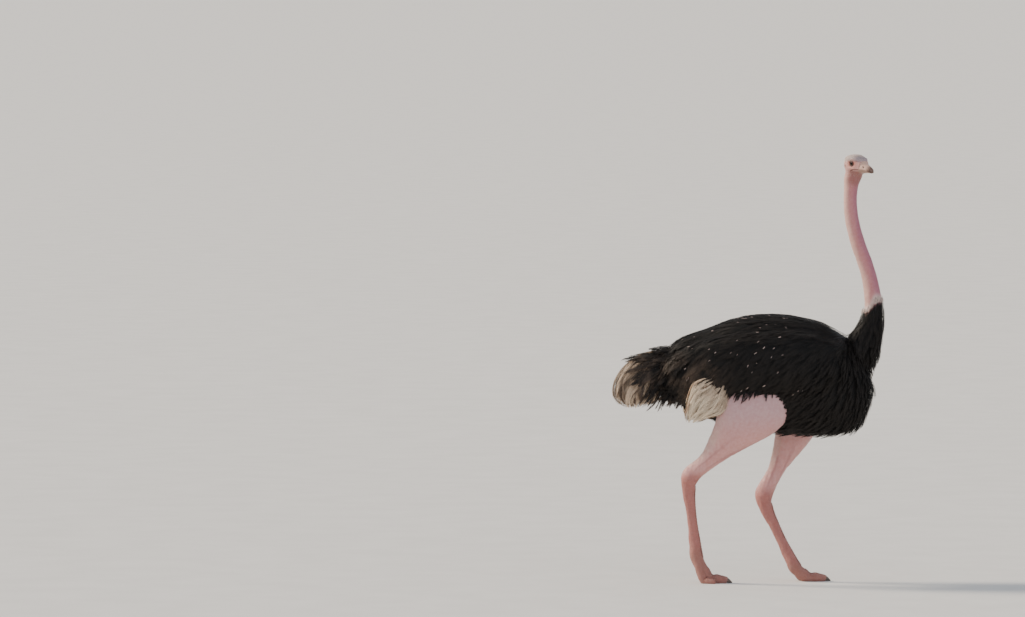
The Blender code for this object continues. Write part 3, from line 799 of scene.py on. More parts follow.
@dataclass
class HeadAndNeck:
    """The bare head and neck: a tube that climbs the neck, fans round under the jaw and ends at the bill."""

    columns: int = 128
    neck_rings: int = 165
    turn_rings: int = 18
    fan_rings: int = 92
    fan_pivot: Pair = (0.047, -0.082)  # x and z in the head's frame, where jaw meets neck
    fan_reach: float = 0.068  # from the pivot to the middle of the head
    neck_top: float = 0.800  # place on the neck where the rings start to follow the head
    fillet: float = 0.020
    search: float = 0.16  # how far from a ring's centre its points may lie
    halvings: int = 22  # how often the search for a point is halved
    crease: float = 0.0135  # from one fold of the neck's skin to the next
    collar: float = 0.305  # place on the neck where the plumage ends
    # x and z of the line of the mouth, in the head's frame
    gape: Rows = ((0.060, -0.0235), (0.040, -0.0262), (0.016, -0.0310), (-0.002, -0.0420))
    ear: Pair = (-0.050, -0.022)
    ear_size: Pair = (0.0045, 0.0062)
    limb: Limb = field(init=False)

    def __post_init__(self) -> None:
        """Places the neck's stations on the centred model."""
        self.limb = Limb(placed(NECK_ROWS), 2.0)
        places = np.linspace(0.0, 1.0, FINE)
        fine = sample_rows(self.limb.rows, places)
        lean = np.gradient(fine[:, 0], fine[:, 2])
        fine[:, 3] *= np.sqrt(1.0 + lean**2)
        under = 0.004 * step(places, self.collar + 0.01, self.collar - 0.03)
        under += 0.024 * step(places, self.collar - 0.02, 0.08)
        fine[:, 3:] -= under[:, None]
        self.levels = fine

    def neck_distance(self, points: Array) -> Array:
        """Roughly how far points are outside the neck."""
        z = points[..., 2]
        x, y, depth, width = (np.interp(z, self.levels[:, 2], self.levels[:, k]) for k in (0, 1, 3, 4))
        size = np.sqrt(((points[..., 0] - x) / depth) ** 2 + ((points[..., 1] - y) / width) ** 2)
        above = np.maximum(z - self.levels[-1, 2], 0.0)
        return (size - 1.0) * 0.5 * (depth + width) + above

    @staticmethod
    def skull_distance(points: Array) -> Array:
        """Roughly how far points of the head's frame are outside the skull."""
        fine = sample_rows(SKULL_ROWS, np.linspace(0.0, 1.0, SKULL_STATIONS))
        x = points[..., 0]
        top, under, width = (np.interp(x, fine[:, 0], fine[:, k]) for k in (1, 2, 3))
        middle = 0.5 * (top + under)
        rise = np.maximum(0.5 * (top - under), 0.002)
        power = 2.7 - 0.5 * step(points[..., 2], 0.0, -0.05)
        side, up = np.abs(points[..., 1]) / width, np.abs(points[..., 2] - middle) / rise
        size = (side**power + up**power) ** (1.0 / power)
        return (size - 1.0) * np.minimum(rise, width) + np.maximum(-0.082 - x, 0.0)

    def distance(self, points: Array) -> Array:
        """Roughly how far points are outside the head and neck."""
        return soft_least(self.skull_distance(HEAD.inside(points)), self.neck_distance(points), self.fillet)

    def planes(self) -> tuple[Array, Array, Array]:
        """The rings' planes, from the breast to the bill.

        Returns:
            The centres, the ways to the back and the ways to the bird's left.
        """
        places = np.linspace(0.05, self.neck_top, self.neck_rings)
        centre, _, across, deep, _ = self.limb.frames(places)
        yaw = math.atan2(HEAD.axes[0][1], HEAD.axes[0][0]) * step(places, 0.45, self.neck_top)
        back = -deep * np.cos(yaw)[:, None] - across * np.sin(yaw)[:, None]
        left = across * np.cos(yaw)[:, None] - deep * np.sin(yaw)[:, None]
        px, pz = self.fan_pivot
        alpha = np.linspace(0.0, math.pi / 2, self.fan_rings)
        out = np.stack([-np.cos(alpha), np.zeros_like(alpha), np.sin(alpha)], -1)
        fan_centre = HEAD.outside(np.array([px, 0.0, pz]) + out * self.fan_reach)
        fan_back, fan_left = HEAD.turned(out), np.repeat(HEAD.axes[1:2], len(alpha), 0)
        even = (np.arange(1, self.turn_rings) / self.turn_rings)[:, None]
        share = step(even, 0.0, 1.0)
        turn_centre = centre[-1] + (fan_centre[0] - centre[-1]) * even
        turn_back = unit(back[-1] + (fan_back[0] - back[-1]) * share)
        turn_left = unit(left[-1] + (fan_left[0] - left[-1]) * share)
        ahead = np.array([0.0016, 0.0032, 0.0046])
        front_centre = fan_centre[-1] + HEAD.turned(np.stack([ahead, 0 * ahead, 0 * ahead], -1))
        return (
            np.vstack([centre, turn_centre, fan_centre, front_centre]),
            np.vstack([back, turn_back, fan_back, np.repeat(fan_back[-1:], 3, 0)]),
            np.vstack([left, turn_left, fan_left, np.repeat(fan_left[-1:], 3, 0)]),
        )

    def grid(self) -> Array:
        """The rings of points on the surface, and a last small one that closes the front inside the bill."""
        centre, back, left = self.planes()
        angle = ring_angles(self.columns)
        way = back[:, None] * np.cos(angle)[None, :, None] + left[:, None] * np.sin(angle)[None, :, None]
        low, high = np.zeros(way.shape[:2]), np.full(way.shape[:2], self.search)
        for _ in range(self.halvings):
            middle = 0.5 * (low + high)
            outside = self.distance(centre[:, None] + way * middle[..., None]) > 0.0
            high = np.where(outside, middle, high)
            low = np.where(outside, low, middle)
        found = centre[:, None] + way * low[..., None]
        lip = found[-1:] + HEAD.turned(np.array([[0.0012, 0.0, 0.0]])) + (centre[-1] - found[-1:]) * 0.06
        core = found[-1:] + (centre[-1] - found[-1:]) * 0.55
        return np.concatenate([found, lip, core])

    def gape_distance(self, h: Array) -> Array:
        """How far points of the head's frame are from the line of the mouth, seen from the side."""
        line = np.array(self.gape)
        best = np.full(h.shape[:-1], 1.0)
        for a, b in zip(line, line[1:]):
            run, away = b - a, h[..., [0, 2]] - a
            share = np.clip((away @ run) / (run @ run), 0.0, 1.0)
            best = np.minimum(best, np.linalg.norm(away - share[..., None] * run, axis=-1))
        return best

    def ear_distance(self, x: Array, z: Array) -> Array:
        """How far points are from the ear's middle, 1 at its edge."""
        return np.hypot((x - self.ear[0]) / self.ear_size[0], (z - self.ear[1]) / self.ear_size[1])

    def relief(self, points: Array, orbit: bool) -> Array:
        """How far each point of the surface moves out, for the brow, cheeks, ears, mouth and folds.

        Args:
            points: Points of the surface.
            orbit: Whether the hollow behind the eyelids is sunk too.

        Returns:
            A distance for each point, outwards where it is positive.
        """
        h = HEAD.inside(points)
        x, y, z = h[..., 0], np.abs(h[..., 1]), h[..., 2]
        side = step(y, 0.012, 0.030)
        out = 0.0046 * side * bell(z, 0.029, 0.008) * bell(x, 0.004, 0.036)
        out -= 0.0055 * step(z, 0.026, 0.046) * step(x, 0.050, 0.030)
        out -= 0.0105 * side * spot(x, z, (0.0, 0.0), (0.028, 0.022))
        out -= 0.0022 * side * spot(x, z, (-0.046, 0.008), (0.014, 0.014))
        out += 0.0016 * side * spot(x, z, (0.004, -0.030), (0.030, 0.007))
        ear = self.ear_distance(x, z)
        out += side * (0.0014 * bell(ear, 1.5, 0.5) - 0.0050 * np.exp(-(ear**2)))
        mouth = self.gape_distance(h)
        out += side * (0.0010 * bell(mouth, 0.0044, 0.0018) - 0.0030 * bell(mouth, 0.0, 0.0016))
        throat = step(z, -0.046, -0.060) * step(x, -0.045, -0.010) * step(z, -0.155, -0.095)
        out += 0.0004 * throat * np.sin(h[..., 1] * TURN / self.crease + 1.6 * np.sin(z * 55.0))
        lower = step(z, -0.050, -0.075)
        climb = points[..., 2]
        fold = climb * TURN / self.crease + 1.7 * np.sin(climb * 31.0)
        strength = 0.00025 + 0.0005 * bell(climb, 2.235, 0.045) + 0.0004 * bell(climb, 1.66, 0.07)
        out += lower * strength * np.sin(fold + 1.6 * ripple(points, 0.16, 3))
        out += 0.0007 * lower * ripple(points, 0.070, 5)
        out += (1.0 - lower) * 0.0003 * ripple(points, 0.012, 8)
        out += 0.0016 * lower * (bell(h[..., 1], 0.0, 0.012) * step(x, 0.0, 0.02))
        if orbit:
            out -= 0.0075 * side * np.exp(-((np.hypot(x, z) / 0.0175) ** 4))
        return out

    def mesh(self) -> Mesh:
        """The closed mesh of the head and neck."""
        made = tube_mesh("head_and_neck", self.grid(), Unwrap.NECK.value)
        points = points_of(made)
        out = normals_of(made)
        outer = points + out * self.relief(points, False)[:, None]
        self.face = BVHTree.FromPolygons(outer.tolist(), faces_of(made))
        set_points(made, points + out * self.relief(points, True)[:, None])
        return made


@dataclass
class Eyelids:
    """The rim of wrinkled skin round one eye, from the edge of the opening to the face."""

    side: int
    half_length: float = 0.0152
    half_height: float = 0.0102
    rim: float = 0.0270  # how far the lids reach from the middle of the eye
    columns: int = 96
    rows: int = 22

    def opening(self, angle: Array) -> Array:
        """The distance from the middle of the eye to the lids' edge: an almond, lower in front."""
        c, s = np.cos(angle), np.sin(angle)
        lid = np.where(s > 0.0, 0.66, 1.0)
        almond = 1.0 / np.sqrt((c / self.half_length) ** 2 + (s / (self.half_height * lid)) ** 2)
        return almond * (1.0 + 0.10 * np.exp(-((np.abs(c) - 1.0) / 0.10) ** 2))

    def face_height(self, face: BVHTree, x: Array, z: Array) -> Array:
        """How far out the face lies at places beside the head's middle plane."""
        found = np.empty(x.shape)
        way = Vector(HEAD.turned(np.array([0.0, -self.side, 0.0])))
        for index in np.ndindex(x.shape):
            start = HEAD.outside(np.array([x[index], self.side * 0.12, z[index]]))
            hit = face.ray_cast(Vector(start), way)[0]
            found[index] = abs(HEAD.inside(np.array(hit))[1]) if hit else 0.04
        return found

    def mesh(self, face: BVHTree) -> Mesh:
        """The closed band of the lids.

        Args:
            face: The surface of the face, before the hollow of the eye.

        Returns:
            The mesh, in place.
        """
        angle = ring_angles(self.columns)
        edge = self.opening(angle)
        share = np.linspace(0.0, 1.0, self.rows)[:, None]
        reach = edge + (self.rim - edge) * share
        x, z = reach * np.cos(angle), reach * np.sin(angle)
        ball = HEAD.eye_radius + 0.0011
        on_eye = HEAD.eye_offset + np.sqrt(np.maximum(ball**2 - reach**2, (0.30 * ball) ** 2))
        on_face = self.face_height(face, x, z)
        blend = step(share, 0.30, 0.95) * np.ones_like(reach)
        height = on_eye + (on_face - on_eye) * blend
        fold = np.sin(share * TURN * 3.2 + 0.5 * np.sin(angle * 3.0 + 1.0))
        height += 0.00065 * fold * step(share, 0.12, 0.3) * step(share, 1.0, 0.75)
        height += 0.0009 * bell(share, 0.05, 0.07)
        height += 0.0010 * bell(share, 0.34, 0.16) * step(np.sin(angle), 0.1, 0.7)
        height -= 0.0008 * step(share, 0.92, 1.0)
        rows = [np.stack([x, height * np.ones_like(x), z], -1)]
        depth = height[[-1]] - 0.006
        rows.append(np.stack([x[[-1]], depth, z[[-1]]], -1))
        inner = edge - 0.0012
        low = HEAD.eye_offset + np.sqrt(np.maximum((HEAD.eye_radius - 0.006) ** 2 - inner**2, 0.0))
        rows.append(np.stack([inner * np.cos(angle), low, inner * np.sin(angle)], -1)[None])
        rim = HEAD.eye_offset + np.sqrt(HEAD.eye_radius**2 - inner**2) + 0.0001
        rows.append(np.stack([inner * np.cos(angle), rim, inner * np.sin(angle)], -1)[None])
        grid = np.concatenate(rows)
        grid[..., 1] *= self.side
        count = grid.shape[0]
        wrapped = grid_faces(count + 1, self.columns) % (count * self.columns)
        mesh = mesh_from("lids", HEAD.outside(grid), wrapped.tolist())
        mesh.uv_layers.new(name="unwrap")
        turn_outwards(mesh)
        return mesh


@dataclass
class Leg:
    """A bare leg: thigh, drumstick, hock and shank in one tube, and two toes that grow out of its end."""

    side: int
    word: str
    rings: int = 210
    columns: int = 64
    big_toe: Triple = (0.185, 0.034, 0.036)  # length, half depth and half width
    small_toe: Triple = (0.115, 0.025, 0.022)
    big_heading: float = math.radians(2)
    small_heading: float = math.radians(26)
    small_offset: float = 0.018
    sole: float = 0.66
    touchdown: float = 0.40
    profile: Rows = (
        # share of the toe's length, then factors on its depth and width
        (0.12, 1.00, 1.00), (0.24, 1.00, 1.00), (0.36, 0.90, 0.98), (0.48, 0.80, 0.90), (0.61, 0.84, 0.92),
        (0.72, 0.74, 0.84), (0.82, 0.66, 0.72), (0.92, 0.52, 0.54), (1.00, 0.16, 0.18),
    )

    def __post_init__(self) -> None:
        """Places the leg's stations on the centred model."""
        self.limb = Limb(placed(LEG_ROWS[self.word], self.side))
        self.big = self.toe(self.big_toe, self.big_heading, 0.0)
        self.small = self.toe(self.small_toe, self.small_heading, self.small_offset)
        self.patch = Unwrap["LEG_" + self.word.upper()].value

    def tube(self) -> Array:
        """Rings round the leg from the hip down, the last ones closing inside the big toe."""
        ends = np.array(self.big.rows[3:5])
        ends[:, 3:] *= [(0.80, 0.85), (0.45, 0.50)]
        rows = np.vstack([self.limb.rows, ends])
        last = len(self.limb.rows) - 1
        stretch = last / (len(rows) - 1)
        whole = Limb(rows, self.limb.power, 0.030)
        places = np.linspace(0.015 * stretch, 0.5 * (stretch + 1.0), self.rings)

        def shape(place: Array, angle: Array) -> Array:
            """The swell of the whole tube, read at the same height as on the leg alone."""
            return self.swell(np.minimum(place / stretch, 1.0), angle)

        return whole.grid(places, self.columns, shape)

    @staticmethod
    def swell(place: Array, angle: Array) -> Array:
        """The muscles, tendons and joints, as a factor on the ring. The angle is 0 at the back."""
        back = np.exp(-((np.minimum(angle, TURN - angle) / 0.55) ** 2))
        front = np.exp(-(((angle - math.pi) / 0.60) ** 2))
        flank = np.sin(angle) ** 2
        calf = 0.07 * bell(place, 0.37, 0.07) * back
        calf -= 0.035 * bell(place, 0.40, 0.08) * np.abs(np.sin(2 * angle))
        tendon = 0.17 * bell(place, 0.53, 0.045) * back - 0.10 * bell(place, 0.53, 0.045) * flank
        hock = 0.11 * bell(place, 0.585, 0.020) * flank + 0.07 * bell(place, 0.578, 0.024) * back
        dip = -0.05 * bell(place, 0.632, 0.020) * front
        shank = step(place, 0.61, 0.68) * step(place, 0.95, 0.88)
        cords = shank * (0.12 * back + 0.05 * front - 0.10 * flank)
        toes = 0.05 * bell(place, 0.93, 0.03) * flank
        strands = 0.012 * step(place, 0.22, 0.34) * step(place, 0.58, 0.50)
        strands = strands * np.sin(7.0 * angle + 9.0 * place)
        return 1.0 + calf + tendon + hock + dip + cords + toes + strands

    def toe(self, size: Triple, heading: float, offset: float) -> Limb:
        """The line of a toe, from inside the shank's end to its tip on the floor.

        Args:
            size: Length, half depth and half width.
            heading: The way it points, outwards from straight ahead.
            offset: How far outwards its root lies.

        Returns:
            The limb.
        """
        length, depth, width = size
        forward = np.array([math.cos(heading), self.side * math.sin(heading)])
        roots = sample_rows(self.limb.rows, np.array([0.975, 0.999]))
        rows = [(x, y + self.side * offset, z, 0.94 * depth, 0.94 * width) for x, y, z, _, _ in roots]
        x0, y0, lift = rows[-1][:3]
        for share, deep, wide in self.profile:
            fall = max(1.0 - share / self.touchdown, 0.0) ** 1.4
            level = self.sole * depth * deep
            x, y = np.array([x0, y0]) + forward * length * share
            rows.append((x, y, level + (lift - level) * fall, depth * deep, width * wide))
        return Limb(rows, 2.2, 0.12)

    def toe_grid(self, limb: Limb, end: float, rings: int, columns: int) -> Array:
        """Rings round a toe, pressed flat on the floor, with pads and creases."""

        def pads(place: Array, angle: Array) -> Array:
            """Pads under the toe and fine creases, as a factor on the ring."""
            under = np.exp(-((angle % TURN - math.pi) ** 2) / 1.2)
            return 1.0 + 0.03 * np.cos(place * TURN * 3.6) * under + 0.012 * np.sin(place * TURN * 15)

        grid = limb.grid(np.linspace(0.10, end, rings), columns, pads)
        grid[..., 2] = np.maximum(grid[..., 2], 0.0)
        return grid

    def meshes(self) -> list[Mesh]:
        """The leg's tube and its toes, each closed."""
        leg = tube_mesh("leg_" + self.word, self.tube(), self.patch)
        points = points_of(leg)
        fine = 0.0011 * ripple(points * np.array([1.0, 1.0, 0.35]), 0.030, 11)
        fine += 0.0010 * ripple(points, 0.085, 13)
        set_points(leg, points + normals_of(leg) * fine[:, None])
        low, high = (0.71, 0.84) if self.side > 0 else (0.85, 0.99)
        toes = Unwrap.TOES.value
        return [
            leg,
            tube_mesh("toe", self.toe_grid(self.big, 0.90, 88, 40), Patch(toes.left, low, 0.88, high)),
            tube_mesh("toe", self.toe_grid(self.small, 1.0, 60, 32), Patch(0.89, low, toes.right, high)),
        ]


@dataclass
class TrunkForm:
    """The one smooth form of trunk, wings and neck base, at any depth under the plumage."""

    nodes: tuple[str, ...] = ("trunk", "wing_left", "wing_right", "neck_base", "neck_lower")
    lean: Pair = (0.012, 0.008)  # how much deeper it lies on the back, and less on the belly
    middle: Triple = (0.130, 0.0, 1.165)
    half_length: float = 0.64

    def sunk(self, name: str, depth: float, at_neck: float, grain: float, *more: str) -> Mesh:
        """The form, sunk under the outline.

        Args:
            name: The mesh's name.
            depth: How far under the outline it lies on the trunk.
            at_neck: How far under the outline it lies on the neck.
            grain: The size of its faces.
            more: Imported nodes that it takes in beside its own.

        Returns:
            The mesh, with its places on the skin's unwrap as its map.
        """
        obj = node_union(name, self.nodes + more, grain, 12)
        mesh = obj.data
        bpy.data.objects.remove(obj)
        points, out = points_of(mesh), normals_of(mesh)
        body = step(points[:, 2], 1.52, 1.28)
        body *= 1.0 - bell(points[:, 0] - SHIFT, 0.535, 0.060) * step(points[:, 2], 1.28, 1.34)
        lean = np.where(out[:, 2] > 0.0, *self.lean) * out[:, 2]
        under = at_neck + (depth - at_neck + lean) * body
        set_points(mesh, points - out * under[:, None])
        centre = read(mesh.polygons, "center", 3) - np.array(self.middle) - np.array([SHIFT, 0.0, 0.0])
        along = 0.5 + 0.5 * np.clip(centre[:, 0] / self.half_length, -1.0, 1.0)
        around = (np.arctan2(centre[:, 1], centre[:, 2]) / TURN) % 1.0
        sides = read(mesh.polygons, "loop_total", kind=np.int32)
        set_map(mesh, "unwrap", np.repeat(Unwrap.TRUNK.value.spread(along, around), sides, axis=0))
        return mesh


@dataclass
class Skin:
    """All the skin as one closed surface: trunk, neck, head, eyelids, legs and toes."""

    head: HeadAndNeck
    legs: Sequence[Leg]
    trunk: TrunkForm
    under_black: Triple = (0.012, 0.010, 0.010)  # the skin under the black plumage

    def head_tint(self, points: Array, normals: Array) -> Array:
        """The colours of the head and neck."""
        h = HEAD.inside(points)
        x, y, z = h[:, 0], np.abs(h[:, 1]), h[:, 2]
        tint = np.tile([0.54, 0.225, 0.23], (len(points), 1))
        skull = step(z, -0.085, -0.060)
        crown = step(z + 0.30 * np.maximum(-x, 0.0), 0.014, 0.034) * skull
        ahead = HEAD.inside(points + normals)[:, 0] - x
        painted_forehead_shade = crown * step(ahead, -0.2, 0.6) * step(z, 0.052, 0.036)
        brow = bell(z, 0.021, 0.006) * bell(x, 0.012, 0.034) * step(y, 0.012, 0.03)
        throat = step(z, -0.026, -0.046) * step(x, -0.040, 0.005) * step(z, -0.150, -0.100)
        mouth = bell(self.head.gape_distance(h), 0.0, 0.0022)
        ear = np.exp(-(self.head.ear_distance(x, z) ** 2))
        collar = self.head.limb.frames(np.array([self.head.collar]))[0][0, 2]
        height = points[:, 2] - collar + 0.062 * step(normals[:, 0], 0.3, -0.8)
        for colour, share in (
            ((0.74, 0.48, 0.40), 0.8 * step(normals[:, 0], 0.0, -0.8)),  # the back of the neck: paler, partly the skin's own and partly painted light on the side that faces the key light
            ((0.36, 0.135, 0.20), 0.75 * step(normals[:, 0], -0.15, 0.7)),  # its front: darker mauve, partly the skin's own and partly painted shade on the side turned from the key light
            ((0.60, 0.34, 0.30), skull),
            ((0.56, 0.48, 0.45), crown),
            # painted shade: violet over the front of the crown, the side turned from the key light
            ((0.30, 0.24, 0.31), 0.8 * painted_forehead_shade),
            # painted shadow under the brow ridge
            ((0.30, 0.115, 0.14), 0.75 * brow),
            ((0.52, 0.20, 0.16), 0.85 * bell(np.hypot(x, z * 1.15), 0.020, 0.015) * step(y, 0.01, 0.03)),
            # the throat's reddish-brown skin, darkened further as painted shade under the jaw
            ((0.31, 0.13, 0.115), 0.85 * throat),
            # painted shade: a dark line in the groove of the mouth
            ((0.16, 0.06, 0.05), step(y, 0.012, 0.03) * mouth),
            # painted shade: the ear's opening darkened
            ((0.10, 0.04, 0.035), step(y, 0.02, 0.03) * ear),
            ((0.74, 0.62, 0.57), 0.85 * bell(height, -0.004, 0.022)),  # the skin that the collar grows from
        ):
            tint = mixed(tint, colour, share)
        return mixed(self.under_black, tint, step(height, -0.050, -0.025))

    def leg_tint(self, points: Array, normals: Array, leg: Leg) -> tuple[Array, Array]:
        """The colours of a leg and how scaly it is, by the place on its line."""
        places = np.linspace(0.0, 1.0, 300)
        line = leg.limb.frames(places)[0]
        place = np.interp(-points[:, 2], -line[:, 2], places)
        middle = np.stack([np.interp(place, places, line[:, k]) for k in range(2)], -1)
        angle = np.arctan2(leg.side * (points[:, 1] - middle[:, 1]), points[:, 0] - middle[:, 0])
        cord = step(np.sin(5.0 * angle + 2.2 * np.sin(9.0 * place)), 0.45, 0.95) * bell(place, 0.40, 0.10)
        painted_light = step(normals[:, 0], -0.15, -0.9) * bell(place, 0.34, 0.16)
        tint = np.tile([0.56, 0.36, 0.37], (len(points), 1))
        for colour, share in (
            ((0.62, 0.33, 0.31), step(place, 0.12, 0.30)),
            ((0.40, 0.17, 0.17), 0.55 * cord),
            # painted light: the back of the thigh and drumstick, which faces the key light, is paler
            ((0.78, 0.57, 0.49), 0.65 * painted_light),
            ((0.56, 0.23, 0.20), step(place, 0.50, 0.60)),
            ((0.48, 0.22, 0.18), step(place, 0.90, 1.0)),
        ):
            tint = mixed(tint, colour, share)
        return tint, step(place, 0.50, 0.62)

    def make(self) -> Object:
        """The finished skin."""
        parts: list[tuple[Mesh, Array, Array]] = []

        def add(mesh: Mesh, tint: Array, scaly: Optional[Array] = None) -> None:
            """Puts one closed form on the list, with its colour and its share of scales."""
            parts.append((mesh, tint, np.zeros(len(tint)) if scaly is None else scaly))

        core = self.trunk.sunk("skin", 0.027, 0.008, 0.016)
        add(core, np.tile(self.under_black, (len(core.vertices), 1)))
        neck = self.head.mesh()
        add(neck, self.head_tint(points_of(neck), normals_of(neck)))
        surfaces = []
        for leg in self.legs:
            for mesh in leg.meshes():
                add(mesh, *self.leg_tint(points_of(mesh), normals_of(mesh), leg))
                surfaces.append(BVHTree.FromPolygons(points_of(mesh).tolist(), faces_of(mesh)))
        for side, _ in SIDES:
            lids = Eyelids(side).mesh(self.head.face)
            reach = np.linalg.norm(HEAD.inside(points_of(lids))[:, [0, 2]], axis=1)
            edge = step(reach, 0.0165, 0.0205)
            add(lids, mixed((0.10, 0.045, 0.04), (0.50, 0.20, 0.16), edge))
        source = np.vstack([points_of(mesh) for mesh, _, _ in parts])
        tints, scaly = (np.concatenate([part[k] for part in parts]) for k in (1, 2))
        tree = KDTree(len(source))
        for index, point in enumerate(source):
            tree.insert(point, index)
        tree.balance()
        skin = self.united([mesh for mesh, _, _ in parts])
        nearest = np.array([tree.find(point)[1] for point in points_of(skin.data)])
        self.ease_joints(skin.data, surfaces)
        store(skin.data, tint=np.hstack([tints[nearest], np.ones((len(nearest), 1))]))
        store(skin.data, scaly=scaly[nearest])
        skin.data.materials.clear()
        skin.data.materials.append(SkinFinish().material())
        return skin

    @staticmethod
    def united(meshes: Sequence[Mesh]) -> Object:
        """One closed surface round all the meshes."""
        whole = new_object("skin", meshes[0])
        for mesh in meshes[1:]:
            other = new_object("skin_part", mesh)
            union = whole.modifiers.new("one skin", "BOOLEAN")
            union.operation, union.solver, union.object = "UNION", "EXACT", other
            whole = baked(whole)
            bpy.data.objects.remove(other)
        return whole

    @staticmethod
    def ease_joints(mesh: Mesh, surfaces: Sequence[BVHTree], width: float = 0.010, rounds: int = 14) -> None:
        """Rounds the creases where the toes leave the legs.

        Args:
            mesh: The joined skin.
            surfaces: The surfaces of the legs and toes before they were joined, three for each leg.
            width: How far from a crease the skin is eased.
            rounds: How many times it is smoothed.
        """
        points = points_of(mesh)
        low = np.nonzero(points[:, 2] < 0.24)[0]
        gap = np.array([[s.find_nearest(Vector(points[i]))[3] for s in surfaces] for i in low])
        share = np.zeros(len(points))
        share[low] = step(np.sort(gap, axis=1)[:, 1], width, 0.3 * width)
        a, b = read(mesh.edges, "vertices", 2, np.int32).T
        count = np.bincount(np.concatenate([a, b]), minlength=len(points))
        for _ in range(rounds):
            total = np.zeros_like(points)
            np.add.at(total, a, points[b])
            np.add.at(total, b, points[a])
            even = total / np.maximum(count, 1)[:, None]
            points += (even - points) * (0.6 * share)[:, None]
        points[:, 2] = np.where(share > 0, np.maximum(points[:, 2], 0.0), points[:, 2])
        set_points(mesh, points)


# Horn and eyes


@dataclass
class Bill:
    """The two halves of the bill, with nostrils, growth lines and a dark nail at the tip."""

    rings: int = 110
    columns: int = 96
    power: float = 2.2
    upper: Rows = (
        # x, top, line of the mouth, half width, in the head's frame
        (0.046, 0.0262, -0.0258, 0.0368), (0.050, 0.0250, -0.0250, 0.0365),
        (0.066, 0.0150, -0.0215, 0.0340), (0.084, 0.0065, -0.0205, 0.0300),
        (0.102, 0.0005, -0.0215, 0.0250), (0.117, -0.0050, -0.0245, 0.0190),
        (0.127, -0.0110, -0.0285, 0.0120), (0.132, -0.0190, -0.0300, 0.0050),
    )
    lower: Rows = (
        # x, line of the mouth, underside, half width
        (0.046, -0.0262, -0.0486, 0.0352), (0.050, -0.0254, -0.0480, 0.0350),
        (0.066, -0.0219, -0.0440, 0.0318), (0.084, -0.0209, -0.0395, 0.0276),
        (0.102, -0.0219, -0.0362, 0.0226), (0.116, -0.0249, -0.0345, 0.0160),
        (0.125, -0.0292, -0.0338, 0.0080),
    )
    nostril: Pair = (0.0800, -0.0060)

    def half(self, rows: Rows, widest: float) -> Array:
        """Rings of points of one half, in the head's frame.

        Args:
            rows: Its stations.
            widest: The level of its greatest width, from 0 at its underside to 1 at its top.

        Returns:
            Points, rings by columns by 3.
        """
        place = np.linspace(0.0, 1.0, self.rings)
        x, top, under, width = sample_rows(rows, 1.0 - (1.0 - place) ** 1.15).T
        c, s = superellipse(ring_angles(self.columns), self.power)
        middle = under + widest * (top - under)
        rise = np.where(s[None, :] > 0, (top - middle)[:, None], (middle - under)[:, None])
        across = width[:, None] * c[None, :]
        up = middle[:, None] + rise * s[None, :]
        return np.stack([np.repeat(x[:, None], self.columns, 1), across, up], -1)

    def shade(self, h: Array) -> Array:
        """How dark the horn is: pale at the root, dark brown at the nail, and darker as painted shade along
        the line of the mouth towards the front.
        """
        tip = step(h[:, 0] + 0.25 * (h[:, 2] + 0.02), 0.092, 0.122)
        # painted shade along the line of the mouth, where the two halves meet
        edge = 0.35 * bell(h[:, 2], -0.0235, 0.0018) * step(h[:, 0], 0.06, 0.10)
        return np.clip(0.85 * tip + edge + 0.10 * ripple(h, 0.018, 21), 0.0, 1.0)

    def make_half(self, name: str, rows: Rows, widest: float, material: Material) -> Object:
        """One finished half of the bill."""
        grid = self.half(rows, widest)
        mesh = tube_mesh(name, HEAD.outside(grid))
        h = HEAD.inside(points_of(mesh))
        x, y, z = h[:, 0], np.abs(h[:, 1]), h[:, 2]
        out = 0.00022 * ripple(h * np.array([2.2, 1.0, 1.0]), 0.016, 23)
        if widest == 0.0:
            ahead, above = x - self.nostril[0], z - self.nostril[1]
            near = np.hypot(ahead / 0.0072, (above + 0.35 * ahead) / 0.0034)
            sided = step(y, 0.006, 0.011)
            out += sided * (0.0007 * bell(near, 1.35, 0.45) - 0.0042 * np.exp(-(near**2)))
            out += 0.0010 * bell(y, 0.0, 0.006) * step(x, 0.055, 0.085)
            out -= 0.0006 * bell(x, 0.1115, 0.0016)
        set_points(mesh, points_of(mesh) + normals_of(mesh) * out[:, None])
        # the lower half is darker all over: painted shade under the upper half
        shade = np.maximum(self.shade(h), 0.0 if widest == 0.0 else 0.42)
        # painted shade: the nostril's hollow darkened
        if widest == 0.0:
            shade = np.maximum(shade, sided * 1.2 * np.exp(-((near / 0.95) ** 4)))
        store(mesh, shade=shade)
        mesh.materials.append(material)
        return new_object(name, mesh)

    def make(self) -> None:
        """Both halves, on the body."""
        horn = HornFinish("bill_horn", (0.66, 0.42, 0.33), (0.075, 0.036, 0.024)).material()
        ride(self.make_half("bill_top", self.upper, 0.0, horn), "bill_horn", "bill_upper")
        ride(self.make_half("bill_foot", self.lower, 1.0, horn), "bill_horn", "bill_lower")


